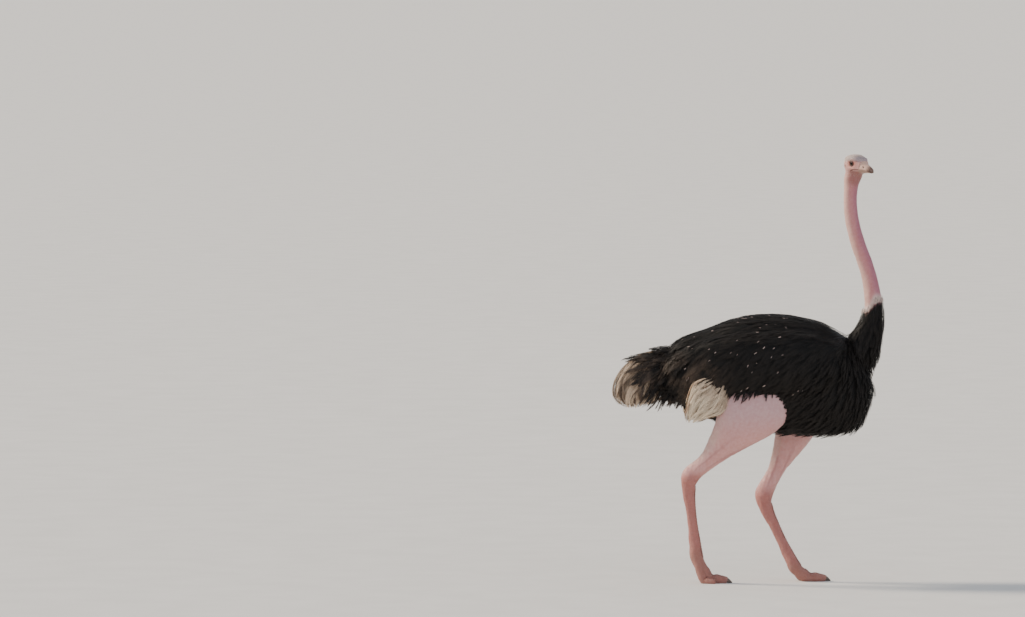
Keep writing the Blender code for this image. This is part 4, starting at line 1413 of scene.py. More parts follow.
@dataclass
class Eyes:
    """The eyeballs."""

    columns: int = 72
    rows: int = 48

    def make(self) -> None:
        """Both eyes, on the body."""
        wet = EyeFinish().material()
        for side, word in SIDES:
            theta = np.linspace(0.02, math.pi - 0.02, self.rows)
            phi = ring_angles(self.columns)
            ball = np.stack(
                [
                    np.sin(theta)[:, None] * np.cos(phi),
                    np.repeat(np.cos(theta)[:, None], self.columns, 1),
                    np.sin(theta)[:, None] * np.sin(phi),
                ],
                -1,
            )
            cornea = 1.0 + 0.018 * np.exp(-((theta / 0.50) ** 2))
            grid = ball * (HEAD.eye_radius * cornea)[:, None, None]
            grid[..., 1] = grid[..., 1] * side + side * HEAD.eye_offset
            mesh = tube_mesh("eye", HEAD.outside(grid))
            local = unit(HEAD.inside(points_of(mesh)) - np.array([0.0, side * HEAD.eye_offset, 0.0]))
            axis = unit(np.array([0.10, side * 1.0, 0.02]))
            store(mesh, ring=np.arccos(np.clip(local @ axis, -1.0, 1.0)))
            mesh.materials.append(wet)
            ride(new_object("eyeball_" + word, mesh), "eye", "eye_" + word)


@dataclass
class Claws:
    """The flat hoof-like claw of each big toe."""

    rings: int = 48
    columns: int = 40
    seat: float = 0.03
    toe_end: float = 0.87
    reach: float = 0.014
    sizes: Rows = (
        # height, half depth and half width: root, middle, front and point
        (0.0165, 0.0150, 0.0175), (0.0140, 0.0130, 0.0150),
        (0.0090, 0.0088, 0.0100), (0.0030, 0.0026, 0.0028),
    )

    def make(self, leg: Leg, material: Material) -> None:
        """One claw, on the body."""
        root, front = sample_rows(leg.big.rows, np.array([self.toe_end - self.seat, 1.0]))
        middle = root + (front - root) * 0.55
        rows = [(*p[:2], *size) for p, size in zip((root, middle, front), self.sizes)]
        rows.append((front[0] + self.reach, front[1], *self.sizes[3]))
        claw = Limb(rows, 2.0)
        grid = claw.grid(np.linspace(0.0, 1.0, self.rings) ** 0.9, self.columns)
        ridge = bell(grid[..., 1], front[1], 0.004) * 0.0012
        grid[..., 2] += ridge * step(grid[..., 2], 0.010, 0.018)
        grid[..., 2] = np.maximum(grid[..., 2], 0.0)
        mesh = tube_mesh("claw", grid)
        points = points_of(mesh)
        shade = step(points[:, 0], root[0], front[0] + self.reach) * 0.8 + 0.15 * ripple(points, 0.012, 31)
        store(mesh, shade=np.clip(shade, 0.0, 1.0))
        mesh.materials.append(material)
        ride(new_object("nail_" + leg.word, mesh), "claw_horn", "claw_" + leg.word)


# Plumage


def vane_mesh(name: str, points: Array, faces: Sequence, reach: Array, across: float = 1.0) -> Mesh:
    """The mesh of a small repeated shape, with what the coat's tree reads from it.

    Args:
        name: The mesh's name.
        points: Its points.
        faces: Its faces.
        reach: How far along it each point lies, from 0 to 1.
        across: The factor on its width on the map vane.

    Returns:
        The mesh, with the attributes reach and rise and the map vane.
    """
    mesh = mesh_from(name, points, faces)
    mesh.update()
    store(mesh, reach=reach, rise=points[:, 2].copy())
    flat = points[corners_of(mesh)]
    set_map(mesh, "vane", np.stack([flat[:, 0], 0.5 + across * flat[:, 1]], -1))
    return mesh


@dataclass(frozen=True)
class PlumeShape:
    """A loose plume of unit length along +X, lying in the XY plane: a shaft and free barbs on both sides."""

    barbs: int = 36
    reach: float = 0.30  # a barb's length, as a share of the plume's
    sweep: float = 0.75  # how far the barbs lean towards the tip, in radians from square
    thickness: float = 0.013
    droop: float = 0.10
    bare: float = 0.05  # share of the shaft without barbs
    seed: int = 1

    def mesh(self, name: str) -> Mesh:
        """The plume, with the attributes reach and rise and its own flat map vane."""
        rng = np.random.default_rng(self.seed)
        points, faces, reach = [], [], []
        bend = rng.uniform(-0.05, 0.05)

        def shaft(s: Array) -> Array:
            """Points on the bent shaft."""
            return np.stack([s, bend * s * s, 0.0 * s], -1)

        stations = np.linspace(0.0, 0.97, 5)
        line = shaft(stations)
        for k, s in enumerate(stations):
            half = 0.010 * (1.0 - 0.85 * s)
            points += [line[k] + [0, half, 0.004], line[k] - [0, half, -0.004]]
            reach += [s, s]
            if k:
                faces.append((2 * k - 2, 2 * k - 1, 2 * k + 1, 2 * k))
        for side in (1, -1):
            for s in np.linspace(self.bare, 0.985, self.barbs) + rng.normal(0, 0.006, self.barbs):
                s = float(np.clip(s, 0.02, 0.99))
                base = shaft(np.array(s))
                grow = math.sin(math.pi * min(max((s + 0.16) / 1.30, 0.0), 1.0)) ** 0.8
                length = self.reach * grow * rng.uniform(0.75, 1.12)
                lean = self.sweep + 0.55 * s + rng.normal(0, 0.09)
                way = np.array([math.sin(lean), side * math.cos(lean), 0.0])
                later = lean + rng.uniform(0.10, 0.50)
                on = np.array([math.sin(later), side * math.cos(later), 0.0])
                middle = base + way * length * 0.5
                tip = middle + on * length * 0.5
                wide = np.array([way[1], -way[0], 0.0]) * self.thickness * 0.5
                fall = self.droop * rng.uniform(0.2, 1.3)
                first = len(points)
                sag = np.array([0.0, 0.0, 0.35 * fall * length])
                points += [base + wide, base - wide, middle + wide * 0.8 - sag, middle - wide * 0.8 - sag]
                points += [tip + [0, 0, -fall * length + rng.normal(0, 0.006)]]
                reach += [s, s, s + 0.4 * (1 - s), s + 0.4 * (1 - s), min(s + 0.25, 1.0)]
                faces += [(first, first + 1, first + 3, first + 2), (first + 2, first + 3, first + 4)]
        return vane_mesh(name, np.array(points), faces, np.array(reach))


@dataclass(frozen=True)
class TuftShape:
    """A small tuft of down of unit length: a few narrow blades from one root."""

    blades: int = 4
    spread: float = 0.45
    thickness: float = 0.09
    seed: int = 1

    def mesh(self, name: str) -> Mesh:
        """The tuft, with the same attributes and map as a plume."""
        rng = np.random.default_rng(self.seed)
        points, faces, reach = [], [], []
        for turn in np.linspace(-self.spread, self.spread, self.blades):
            way = np.array([math.cos(turn), math.sin(turn), 0.0])
            wide = np.array([-way[1], way[0], 0.0]) * self.thickness * 0.5
            length = rng.uniform(0.7, 1.0)
            lift = rng.uniform(-0.10, 0.14)
            first = len(points)
            base = np.array([0.0, 0.10 * turn, 0.0])
            middle = base + way * length * 0.55 + [0, 0, 0.6 * lift]
            tip = base + way * length + [0, rng.normal(0, 0.05), lift]
            points += [base + wide, base - wide, middle + wide * 0.7, middle - wide * 0.7, tip]
            reach += [0.0, 0.0, 0.55, 0.55, 1.0]
            faces += [(first, first + 1, first + 3, first + 2), (first + 2, first + 3, first + 4)]
        return vane_mesh(name, np.array(points), faces, np.array(reach))


@dataclass
class Bed:
    """A smooth surface that plumage grows from, with the plumes' length, lie and height at each point."""

    grid: Array
    patch: Patch
    along: Pair = (0.0, 1.0)  # the part of the patch's length that the grid covers

    def __post_init__(self) -> None:
        """Finds the surface's points and the way out of it."""
        self.mesh = tube_mesh("bed", self.grid)
        self.points = points_of(self.mesh)
        self.out = normals_of(self.mesh)

    def dress(self, heading: Array, size: Array, stand: Array, follow: Array) -> None:
        """Stores what the plumes need.

        Args:
            heading: The way that the plumes point at each point, before it is laid on the surface.
            size: Their length.
            stand: How high their tips stand off the surface.
            follow: 1 where they follow the surface, 0 where they hang free.
        """
        lie = flattened(heading, self.out)
        store(self.mesh, lie=lie, out=self.out, size=size, stand=stand, follow=follow)
        layer = self.mesh.uv_layers["unwrap"]
        u, v = read(layer.data, "uv", 2).T
        low, high = self.along
        self.mesh.uv_layers.remove(layer)
        set_map(self.mesh, "root_uv", self.patch.spread(low + (high - low) * u, v))


class CoatTree(NodeBuilder):
    """The node tree that sets plumes or scales on a bed and lays them along it."""

    prefix: str = "GeometryNode"
    offers: dict[str, str] = {
        "Geometry": "Geometry", "Bed": "Object", "Shapes": "Collection", "Finish": "Material",
        "Spacing": "Float", "Turn": "Float", "Root": "Float", "Uneven": "Float", "Patch": "Float",
        "Seed": "Int", "Given points": "Bool",
    }
    helpers: Sequence[str] = ("lie", "out", "size", "stand", "follow", "rise", "cover", "root_uv", "vane")
    picks: float = 997.0  # any number far above the count of shapes, so that each comes as often

    def __init__(self) -> None:
        """Builds the tree."""
        super().__init__(bpy.data.node_groups.new("coat", "GeometryNodeTree"))
        self.sockets: dict[str, str] = {}
        for name, kind in self.offers.items():
            socket = self.tree.interface.new_socket(name, in_out="INPUT", socket_type="NodeSocket" + kind)
            self.sockets[name] = socket.identifier
        self.tree.interface.new_socket("Geometry", in_out="OUTPUT", socket_type="NodeSocketGeometry")
        self.given = self.tree.nodes.new("NodeGroupInput").outputs
        self.finish(self.mapped(self.laid(self.planted())))

    @staticmethod
    def result(node: Node) -> NodeSocket:
        """The output that is in use."""
        return next(s for s in node.outputs if s.enabled)

    def stored(self, name: str, kind: str = "FLOAT") -> NodeSocket:
        """A stored attribute."""
        return self.result(self.add("InputNamedAttribute", {"data_type": kind}, Name=name))

    def stored_vector(self, name: str) -> NodeSocket:
        """A stored vector."""
        return self.stored(name, "FLOAT_VECTOR")

    def vector(self, operation: str, a: object, b: object = None, scale: object = None) -> NodeSocket:
        """An operation on vectors."""
        return self.operate("ShaderNodeVectorMath", operation, a, b, None, scale)

    def random(self, low: object, high: object, seed: int) -> NodeSocket:
        """A random number for each element."""
        total = self.plus(self.given["Seed"], float(seed))
        return self.result(
            self.add("FunctionNodeRandomValue", {"data_type": "FLOAT"}, Min=low, Max=high, Seed=total)
        )

    def planted(self) -> NodeSocket:
        """Turned and scaled shapes on their roots, spread over the ground or given as its points."""
        given = self.given
        square = self.times(given["Spacing"], given["Spacing"])
        spread = self.add(
            "DistributePointsOnFaces", {"distribute_method": "POISSON"}, Mesh=given["Geometry"],
            Distance_Min=given["Spacing"], Density_Max=self.math("DIVIDE", 3.0, square),
            Density_Factor=self.stored("cover"), Seed=given["Seed"],
        ).outputs["Points"]
        at_points = self.add("MeshToPoints", Mesh=given["Geometry"]).outputs["Points"]
        chosen = self.add(
            "Switch", {"input_type": "GEOMETRY"}, Switch=given["Given points"], False_=spread, True_=at_points
        )
        roots = self.add(
            "StoreNamedAttribute", {"data_type": "FLOAT", "domain": "POINT"},
            Geometry=self.result(chosen), Name="tuft", Value=self.random(0.0, 1.0, 5),
        ).outputs["Geometry"]
        lie, out = self.stored_vector("lie"), self.stored_vector("out")
        turn = self.random(self.times(given["Turn"], -1.0), given["Turn"], 7)
        turned = self.add("ShaderNodeVectorRotate", Vector=lie, Axis=out, Angle=turn).outputs[0]
        facing = self.add(
            "FunctionNodeAxesToRotation", {"primary_axis": "X", "secondary_axis": "Z"},
            Primary_Axis=turned, Secondary_Axis=out,
        ).outputs[0]
        low, high = (self.math(way, 1.0, given["Uneven"]) for way in ("SUBTRACT", "ADD"))
        scale = self.times(self.stored("size"), self.random(low, high, 9))
        shapes = self.add(
            "CollectionInfo", Collection=given["Shapes"], Separate_Children=True, Reset_Children=True
        ).outputs[0]
        pick = self.times(self.random(0.0, 1.0, 11), self.picks)
        plants = self.add(
            "InstanceOnPoints", Points=roots, Instance=shapes, Pick_Instance=True, Instance_Index=pick,
            Rotation=facing, Scale=scale,
        ).outputs[0]
        return self.add("RealizeInstances", Geometry=plants).outputs[0]

    def laid(self, real: NodeSocket) -> NodeSocket:
        """The shapes laid along the bed where they follow it, and left straight where they hang free."""
        bed = self.add("ObjectInfo", Object=self.given["Bed"]).outputs["Geometry"]
        here = self.add("InputPosition").outputs[0]
        kind = {"data_type": "FLOAT_VECTOR"}
        foot, way = (
            self.result(self.add("SampleNearestSurface", kind, Mesh=bed, Value=value))
            for value in (here, self.stored_vector("out"))
        )
        way = self.vector("NORMALIZE", way)
        own = self.times(self.stored("rise"), self.stored("size"))
        tip = self.times(self.stored("stand"), self.math("POWER", self.stored("reach"), 1.3))
        height = self.plus(self.given["Root"], self.plus(tip, own))
        laid = self.vector("ADD", foot, self.vector("SCALE", way, scale=height))
        above = self.plus(self.given["Root"], tip)
        lifted = self.vector("SCALE", self.stored_vector("out"), scale=above)
        free = self.vector("SUBTRACT", self.vector("ADD", here, lifted), laid)
        eased = self.math("POWER", self.stored("reach"), 0.6)
        share = self.times(self.math("SUBTRACT", 1.0, self.stored("follow")), eased)
        place = self.vector("ADD", laid, self.vector("SCALE", free, scale=share))
        return self.add("SetPosition", Geometry=real, Position=place).outputs[0]

    def mapped(self, moved: NodeSocket) -> NodeSocket:
        """The shapes with a map for baking, a small patch for each, and without the helping attributes."""
        vane = self.vector("SUBTRACT", self.stored_vector("vane"), (0.5, 0.5, 0.0))
        corner = self.vector("SCALE", vane, scale=self.given["Patch"])
        corner = self.vector("ADD", self.stored_vector("root_uv"), corner)
        mapped = self.add(
            "StoreNamedAttribute", {"data_type": "FLOAT2", "domain": "CORNER"},
            Geometry=moved, Name="OFBake", Value=corner,
        ).outputs[0]
        for name in self.helpers:
            mapped = self.add("RemoveAttribute", Geometry=mapped, Name=name).outputs[0]
        return mapped

    def finish(self, mapped: NodeSocket) -> None:
        """Shades the shapes smooth, gives them their finish and ends the tree."""
        smooth = self.add("SetShadeSmooth", Geometry=mapped).outputs[0]
        done = self.add("SetMaterial", Geometry=smooth, Material=self.given["Finish"]).outputs[0]
        self.put(self.tree.nodes.new("NodeGroupOutput").inputs[0], done)

    def grow(self, name: str, ground: Mesh, slot: str, *nodes: str, **values: object) -> None:
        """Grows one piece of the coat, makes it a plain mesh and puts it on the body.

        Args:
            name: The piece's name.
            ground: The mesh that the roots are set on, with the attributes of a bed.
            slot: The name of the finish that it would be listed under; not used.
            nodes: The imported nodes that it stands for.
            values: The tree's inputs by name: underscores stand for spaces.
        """
        obj = new_object(name, ground)
        growth = obj.modifiers.new("coat", "NODES")
        growth.node_group = self.tree
        for key, value in {"Patch": MAP_SHARE, **values}.items():
            growth[self.sockets[key.replace("_", " ")]] = value
        ride(baked(obj), slot, *nodes)


def shape_set(name: str, kind: type, sizes: Sequence[float], seeds: Sequence[int]) -> Collection:
    """A collection of small shapes of one kind and size, one for each seed, outside the scene."""
    collection = bpy.data.collections.new(name)
    for number, seed in enumerate(seeds):
        mesh = kind(*sizes, seed).mesh(f"{name}_{number}")
        collection.objects.link(bpy.data.objects.new(mesh.name, mesh))
    return collection


@dataclass(frozen=True)
class ScuteShape:
    """A horny plate of unit length along +X: domed, with its lower edge free and its other edges sunk."""

    wide: float = 1.7
    seed: int = 1

    def mesh(self, name: str) -> Mesh:
        """The plate, with the attributes that the coat's tree reads and its shade."""
        rng = np.random.default_rng(self.seed)
        rows, columns = 5, 7
        u, v = np.meshgrid(np.linspace(0.0, 1.0, rows), np.linspace(-1.0, 1.0, columns), indexing="ij")
        x = u - 0.10 * (1.0 - v**2) * (1.0 - u) + 0.06 * (1.0 - v**2) * u
        y = 0.5 * self.wide * v * (1.0 - 0.08 * rng.uniform() * u)
        crown = (1.0 - np.abs(v) ** 3) * (0.35 + 0.65 * u)
        z = 0.15 * crown - 0.03 * (np.abs(v) > 0.95)
        x, y, z = (np.vstack([grid, grid[-1:]]) for grid in (x, y, z))
        x[-1] -= 0.03
        z[-1] = -0.06
        table = np.stack([x, y, z], -1).reshape(-1, 3)
        faces = grid_faces(rows + 1, columns, closed=False).tolist()
        mesh = vane_mesh(name, table, faces, np.zeros(len(table)), 0.5)
        shade = np.clip(0.08 + 0.6 * np.abs(v) ** 4 + 0.9 * (u < 0.1) + 0.35 * (u > 0.9), 0, 1)
        store(mesh, shade=np.vstack([shade, np.full((1, columns), 0.9)]).ravel())
        return mesh


def given_points(name: str, points: Array, patch: Patch, **values: Array) -> Mesh:
    """A mesh of loose points with attributes, for pieces whose places are worked out one by one."""
    mesh = mesh_from(name, points, [])
    along = np.linspace(0.2, 0.9, len(points))
    place = patch.spread(along, 0.5 + 0 * along)
    store(mesh, **values, root_uv=np.hstack([place, np.zeros((len(points), 1))]))
    return mesh


@dataclass
class Down:
    """The short down of the crown, cheeks and neck, and the lashes."""

    head: HeadAndNeck
    tree: CoatTree

    def make(self) -> None:
        """All the down, on the body."""
        # painted shade: violet on the front of the crown's down, the side turned from the key light
        painted_violet_shade = Wash((0.38, 0.32, 0.38), (0.572, 0.606), (2.402, 2.388), (0.05, 0.25))
        down = PlumeFinish("down", PlumeColour.DOWN, 0.75, 0.02, (0.20, 0.50), 0.3, wash=painted_violet_shade).material()
        short = shape_set("down", TuftShape, (3, 0.38, 0.065), (21, 22, 23))
        sparse = shape_set("bristle", TuftShape, (1, 0.0, 0.055), (31, 32, 33))
        bed = Bed(self.head.grid()[:-1], Unwrap.NECK.value)
        set_points(bed.mesh, bed.points + bed.out * self.head.relief(bed.points, False)[:, None])
        points, bed.out = points_of(bed.mesh), normals_of(bed.mesh)
        h = HEAD.inside(points)
        x, y, z = h[:, 0], np.abs(h[:, 1]), h[:, 2]
        skull = step(z, -0.080, -0.055)
        back = HEAD.turned(np.tile([-1.0, 0.0, -0.25], (len(points), 1)))
        lie = np.where(skull[:, None] > 0.5, back, np.array([0.0, 0.0, -1.0]))
        crown = step(z + 0.35 * np.maximum(-x, 0.0), 0.014, 0.030)
        size = 0.0075 + 0.0055 * crown + 0.002 * ripple(points, 0.03, 61)
        stand = 0.0016 + 0.0012 * crown
        bed.dress(lie, size, stand, 0.6 + 0 * size)
        copy = new_object("bed_copy", bed.mesh.copy(), helper=True)
        bare = 1.0 - bell(np.hypot(x, z), 0.0, 0.034) * step(y, 0.01, 0.03)
        bill = step(x, 0.053, 0.047)
        climb = step(points[:, 2], 1.575, 1.62)
        pieces = (
            ("crown_down", "head_skin", crown * bill * bare, short, 0.0021, 0.5),
            ("face_down", "head_skin", (1.0 - crown) * skull * bare * bill * 0.6, sparse, 0.0032, 0.9),
            ("neck_down", "neck_skin", (1.0 - skull) * climb * 0.45, sparse, 0.0050, 1.1),
        )
        for number, (name, slot, cover, shapes, spacing, turn) in enumerate(pieces):
            ground = bed.mesh.copy()
            store(ground, cover=cover)
            self.tree.grow(
                name, ground, slot, Bed=copy, Shapes=shapes, Finish=down, Spacing=spacing, Turn=turn,
                Root=-0.0004, Uneven=0.35, Seed=171 + number,
            )
        self.make_lashes()

    def make_lashes(self) -> None:
        """The long lashes of the upper lids and the short ones of the lower lids."""
        black = PlumeFinish("lash", PlumeColour.LASH, 0.5).material()
        hair = shape_set("lash", TuftShape, (1, 0.0, 0.055), (41, 42, 43))
        for side, word in SIDES:
            lids = Eyelids(side)
            ring = np.concatenate([np.linspace(0.10, 0.92, 30), np.linspace(1.12, 1.86, 18)]) * math.pi
            edge = lids.opening(ring) + 0.0012
            x, z = edge * np.cos(ring), edge * np.sin(ring)
            ball = HEAD.eye_radius + 0.0022
            y = side * (HEAD.eye_offset + np.sqrt(ball**2 - edge**2))
            roots = HEAD.outside(np.stack([x, y, z], -1))
            lie = np.stack([0.75 * np.cos(ring), side * 0.80 + 0 * ring, 0.75 * np.sin(ring)], -1)
            out = unit(np.stack([-0.8 * np.cos(ring), side * 0.9 + 0 * ring, -0.8 * np.sin(ring)], -1))
            upper = np.sin(ring) > 0
            size = np.where(upper, 0.0135, 0.0070)
            zero = np.zeros(len(ring))
            ground = given_points(
                "lashes_" + word, roots, Unwrap.NECK.value, lie=HEAD.turned(unit(lie)), out=HEAD.turned(out),
                size=size, stand=zero, follow=zero,
            )
            mesh = lids.mesh(self.head.face)
            store(mesh, out=normals_of(mesh))
            self.tree.grow(
                "lashes_" + word, ground, "black_plume", Bed=new_object("lid_bed", mesh, helper=True),
                Shapes=hair, Finish=black, Spacing=0.01, Turn=0.10, Root=0.0, Uneven=0.15, Seed=181,
                Given_points=True,
            )


@dataclass
class Scutes:
    """The plates down the front of each shank and along each toe."""

    tree: CoatTree
    legs: Sequence[Leg]

    def make(self) -> None:
        """The plates of both legs, on the body."""
        horn = HornFinish("scute_horn", (0.47, 0.20, 0.155), (0.10, 0.040, 0.032), 0.45).material()
        plates = shape_set("scute", ScuteShape, (1.7,), (1, 2, 3))
        for leg in self.legs:
            runs = (
                ("shank_scutes_", leg.limb, leg.swell, np.linspace(0.640, 0.985, 26), 0.0215),
                ("big_toe_scutes_", leg.big, None, np.linspace(0.26, 0.84, 15), 0.0165),
                ("small_toe_scutes_", leg.small, None, np.linspace(0.30, 0.88, 11), 0.0115),
            )
            for kind, limb, swell, places, size in runs:
                ring = limb.grid(places, 2, swell)[:, 1]
                centre, run, _, _, half = limb.frames(places)
                lengths = size * (0.55 + 0.45 * half[:, 1] / half[:, 1].max())
                zero = np.zeros(len(places))
                ground = given_points(
                    "scute_roots", ring, leg.patch, lie=run, out=unit(ring - centre), size=lengths,
                    stand=zero, follow=zero + 1.0,
                )
                fine = np.linspace(max(places[0] - 0.05, 0.0), min(places[-1] + 0.08, 1.0), 120)
                bed = Bed(limb.grid(fine, BED_COLUMNS, swell), Unwrap.TOES.value)
                store(bed.mesh, out=bed.out)
                self.tree.grow(
                    kind + leg.word, ground, "shank_scute", Shapes=plates, Finish=horn,
                    Bed=new_object("scute_bed", bed.mesh, helper=True), Spacing=0.01, Turn=0.03,
                    Root=0.0004, Uneven=0.04, Seed=191, Given_points=True,
                )


@dataclass
class BlackCoat:
    """The black plumage of the trunk, wings and neck base, on one smooth form under the outline."""

    trunk: TrunkForm
    head: HeadAndNeck
    tree: CoatTree
    depth: float = 0.017  # how far under the outline the form lies on the trunk
    at_neck: float = -0.006
    grain: float = 0.012  # the size of the form's faces
    neck_stations: int = 300

    def __post_init__(self) -> None:
        """Prepares the form and the plumes."""
        # painted highlight: brown glints of light on the plume tips low on the rear flank
        overlay_tint = Wash((0.085, 0.059, 0.043), (-0.08, -0.34), (1.34, 1.20))
        self.black = PlumeFinish("black_plume", PlumeColour.BLACK, 0.62, 0.0, wash=overlay_tint).material()
        self.plumes = shape_set("plume", PlumeShape, (34, 0.26, 0.80, 0.014, 0.10, 0.04), (3, 5, 7, 11))
        form = self.trunk.sunk("plumage_form", self.depth, self.at_neck, self.grain, "tail")
        form.uv_layers["unwrap"].name = "root_uv"
        self.form = new_object("plumage_form", form, helper=True)
        self.points, self.out = points_of(form), normals_of(form)
        self.x, self.z, self.up = self.points[:, 0] - SHIFT, self.points[:, 2], self.out[:, 2]
        self.dress()

    def dress(self) -> None:
        """The lie, length and height of the plumes."""
        p, n, x, z, up = self.points, self.out, self.x, self.z, self.up
        flank = step(np.abs(up), 0.92, 0.45)
        rear = step(x, -0.05, -0.36)
        breast = step(x, 0.42, 0.66)
        belly = step(up, -0.55, -0.90) * step(x, -0.40, -0.30)
        tail = step(x, -0.36, -0.46)
        fall = 0.16 + flank * (0.75 + 0.95 * rear)
        heading = np.stack([-np.ones_like(fall), 0.0 * fall, -fall], -1)
        heading = mixed(heading, (-0.40, 0.0, -1.0), breast)
        heading = mixed(heading, (-1.0, 0.0, -0.30), belly)
        heading = mixed(heading, (-1.0, 0.0, -0.32), tail * step(z, 1.16, 1.26))
        low = step(z, 1.20, 1.10)
        heading = mixed(heading, (-0.40, 0.0, -1.0), np.maximum(step(x, -0.50, -0.60), tail * low))
        size = 0.145 + 0.045 * rear + 0.012 * ripple(p, 0.30, 41) - 0.040 * breast
        stand = 0.026 + 0.010 * rear + 0.004 * ripple(p, 0.18, 43)
        stand = stand * (1.0 - 0.70 * step(up, 0.30, 0.85))
        follow = 1.0 - 0.80 * step(x, -0.30, -0.42) * step(z, 1.20, 1.08)
        for free in (0.35 * tail, 0.35 * belly, 0.35 * step(z, 0.98, 0.90) * flank):
            follow = np.minimum(follow, 1.0 - free)
        places = np.linspace(0.0, 0.5, self.neck_stations)
        line, run, _, _, half = self.head.limb.frames(places)
        self.place = np.interp(z, line[:, 2], places)
        index = np.searchsorted(places, self.place).clip(0, self.neck_stations - 1)
        away = np.hypot(p[:, 0] - line[index, 0], p[:, 1]) / half[index, 0]
        neck = step(away, 1.75, 1.20) * step(z, 1.24, 1.38)
        heading = mixed(heading, -run[index], neck)
        top = self.head.collar
        size = size * (1.0 - neck) + neck * (0.048 + 0.075 * step(self.place, top, 0.08))
        stand = stand * (1.0 - neck) + neck * (0.008 + 0.016 * step(self.place, top - 0.02, 0.10))
        front = step(x, 0.56, 0.62) * step(n[:, 0], 0.0, 0.5) * bell(z, 1.29, 0.09)
        heading = mixed(unit(heading), (0.14, 0.0, -1.0), front)
        follow = np.minimum(follow, 1.0 - 0.70 * front)
        throat = step(x, 0.60, 0.64) * step(n[:, 0], 0.1, 0.6) * bell(z, 1.39, 0.060)
        stand = stand + 0.010 * front + 0.013 * throat
        crest = step(x, 0.36, 0.44) * step(z, 1.26, 1.34) * (1.0 - neck)
        size, stand = size * (1.0 - 0.46 * crest), stand * (1.0 - 0.55 * crest)
        valley = bell(x, 0.545, 0.050) * step(z, 1.32, 1.37) * step(z, 1.49, 1.43)
        size, stand = size * (1.0 - 0.55 * valley), stand * (1.0 - 0.80 * valley)
        stand = stand + 0.040 * bell(x, -0.33, 0.115) * step(up, 0.25, 0.75)
        under_tail = step(x, -0.26, -0.38) * step(z, 1.20, 1.08)
        size = size * (1.0 - 0.45 * under_tail) * (1.0 - 0.45 * step(x, -0.44, -0.54))
        follow = np.minimum(follow, 1.0 - under_tail)
        store(self.form.data, lie=flattened(heading, n), out=n, size=size, stand=stand, follow=follow)
        self.collar = step(self.place + self.nape(n), top + 0.010, top + 0.001)

    @staticmethod
    def nape(out: Array) -> Array:
        """How much lower the black plumage ends at the back of the neck, as places along it."""
        return 0.052 * step(out[:, 0], 0.3, -0.8)

    def regions(self) -> dict[str, Array]:
        """The part of the form that each piece covers, by the piece's name."""
        x, z, up = self.x, self.z, self.up
        neck = (z > 1.40) & (x > 0.50)
        back, belly = (up > 0.62) & ~neck, (up < -0.62) & ~neck
        tail = x < -0.43
        withers = (x > 0.40) & (z > 1.30) & ~neck
        back, belly = back & ~tail & ~withers, belly & ~tail
        breast, rump = (x > 0.50) & ~back & ~belly & ~neck & ~withers, (x < -0.28) & ~back & ~belly & ~tail
        left = self.points[:, 1] >= 0.0
        side = ~(back | belly | breast | rump | neck | tail | withers)
        hem = -0.590 + 0.050 * step(up, 0.30, 0.80) + 0.014 * ripple(self.points, 0.08, 57)
        fore = x > 0.12
        return {
            "coat_back_fore": back & (x > 0.10), "coat_back_rear": back & (x <= 0.10), "coat_belly": belly,
            "coat_breast": breast, "coat_rump_left": rump & left, "coat_rump_right": rump & ~left,
            "coat_fore_left": side & fore & left, "coat_fore_right": side & fore & ~left,
            "coat_rear_left": side & ~fore & left, "coat_rear_right": side & ~fore & ~left, "coat_neck": neck,
            "coat_withers": withers,
            "coat_tail": tail & (x > hem) & (z > 1.135 + 0.6 * np.maximum(-0.50 - x, 0.0)),
        }

    def make(self) -> None:
        """All the pieces of the black coat, and the collar, on the body."""
        stands_for = {
            "coat_breast": "trunk", "coat_fore_left": "wing_left", "coat_fore_right": "wing_right",
            "coat_neck": "neck_base",
        }
        usual = {"Spacing": 0.0180, "Turn": 0.26, "Root": -0.004, "Uneven": 0.20}
        unlike = {
            "coat_neck": {"Spacing": 0.0125}, "coat_withers": {"Spacing": 0.0110},
            "coat_belly": {"Turn": 0.45, "Uneven": 0.40}, "coat_tail": {"Root": 0.012, "Uneven": 0.40},
        }
        for number, (name, part) in enumerate(self.regions().items()):
            ground = self.form.data.copy()
            store(ground, cover=part.astype(float) * self.collar)
            nodes = [stands_for[name]] if name in stands_for else []
            self.tree.grow(
                name, ground, "black_plume", *nodes, Bed=self.form, Shapes=self.plumes, Finish=self.black,
                Seed=100 + number, **{**usual, **unlike.get(name, {})},
            )
        self.make_collar()
        self.make_flecks()

    def make_flecks(self) -> None:
        """The pale tips of small feathers that show here and there through the black."""
        x = self.x
        ground = self.form.data.copy()
        groups = step(ripple(self.points, 0.13, 71), 0.10, 0.70) * step(x, -0.42, -0.36) * step(x, 0.36, 0.20)
        cover = (0.012 * (x < 0.30) + 0.085 * groups) * (self.z > 1.06)
        store(ground, cover=cover, size=np.full(len(x), 0.014), stand=np.full(len(x), 0.004))
        flecks = shape_set("fleck", TuftShape, (1, 0.0, 0.17), (51, 52, 53))
        white = PlumeFinish("fleck_plume", PlumeColour.COLLAR, 0.70).material()
        self.tree.grow(
            "pale_flecks", ground, "white_plume", Bed=self.form, Shapes=flecks, Finish=white, Spacing=0.010,
            Turn=0.4, Root=0.021, Uneven=0.45, Seed=141,
        )

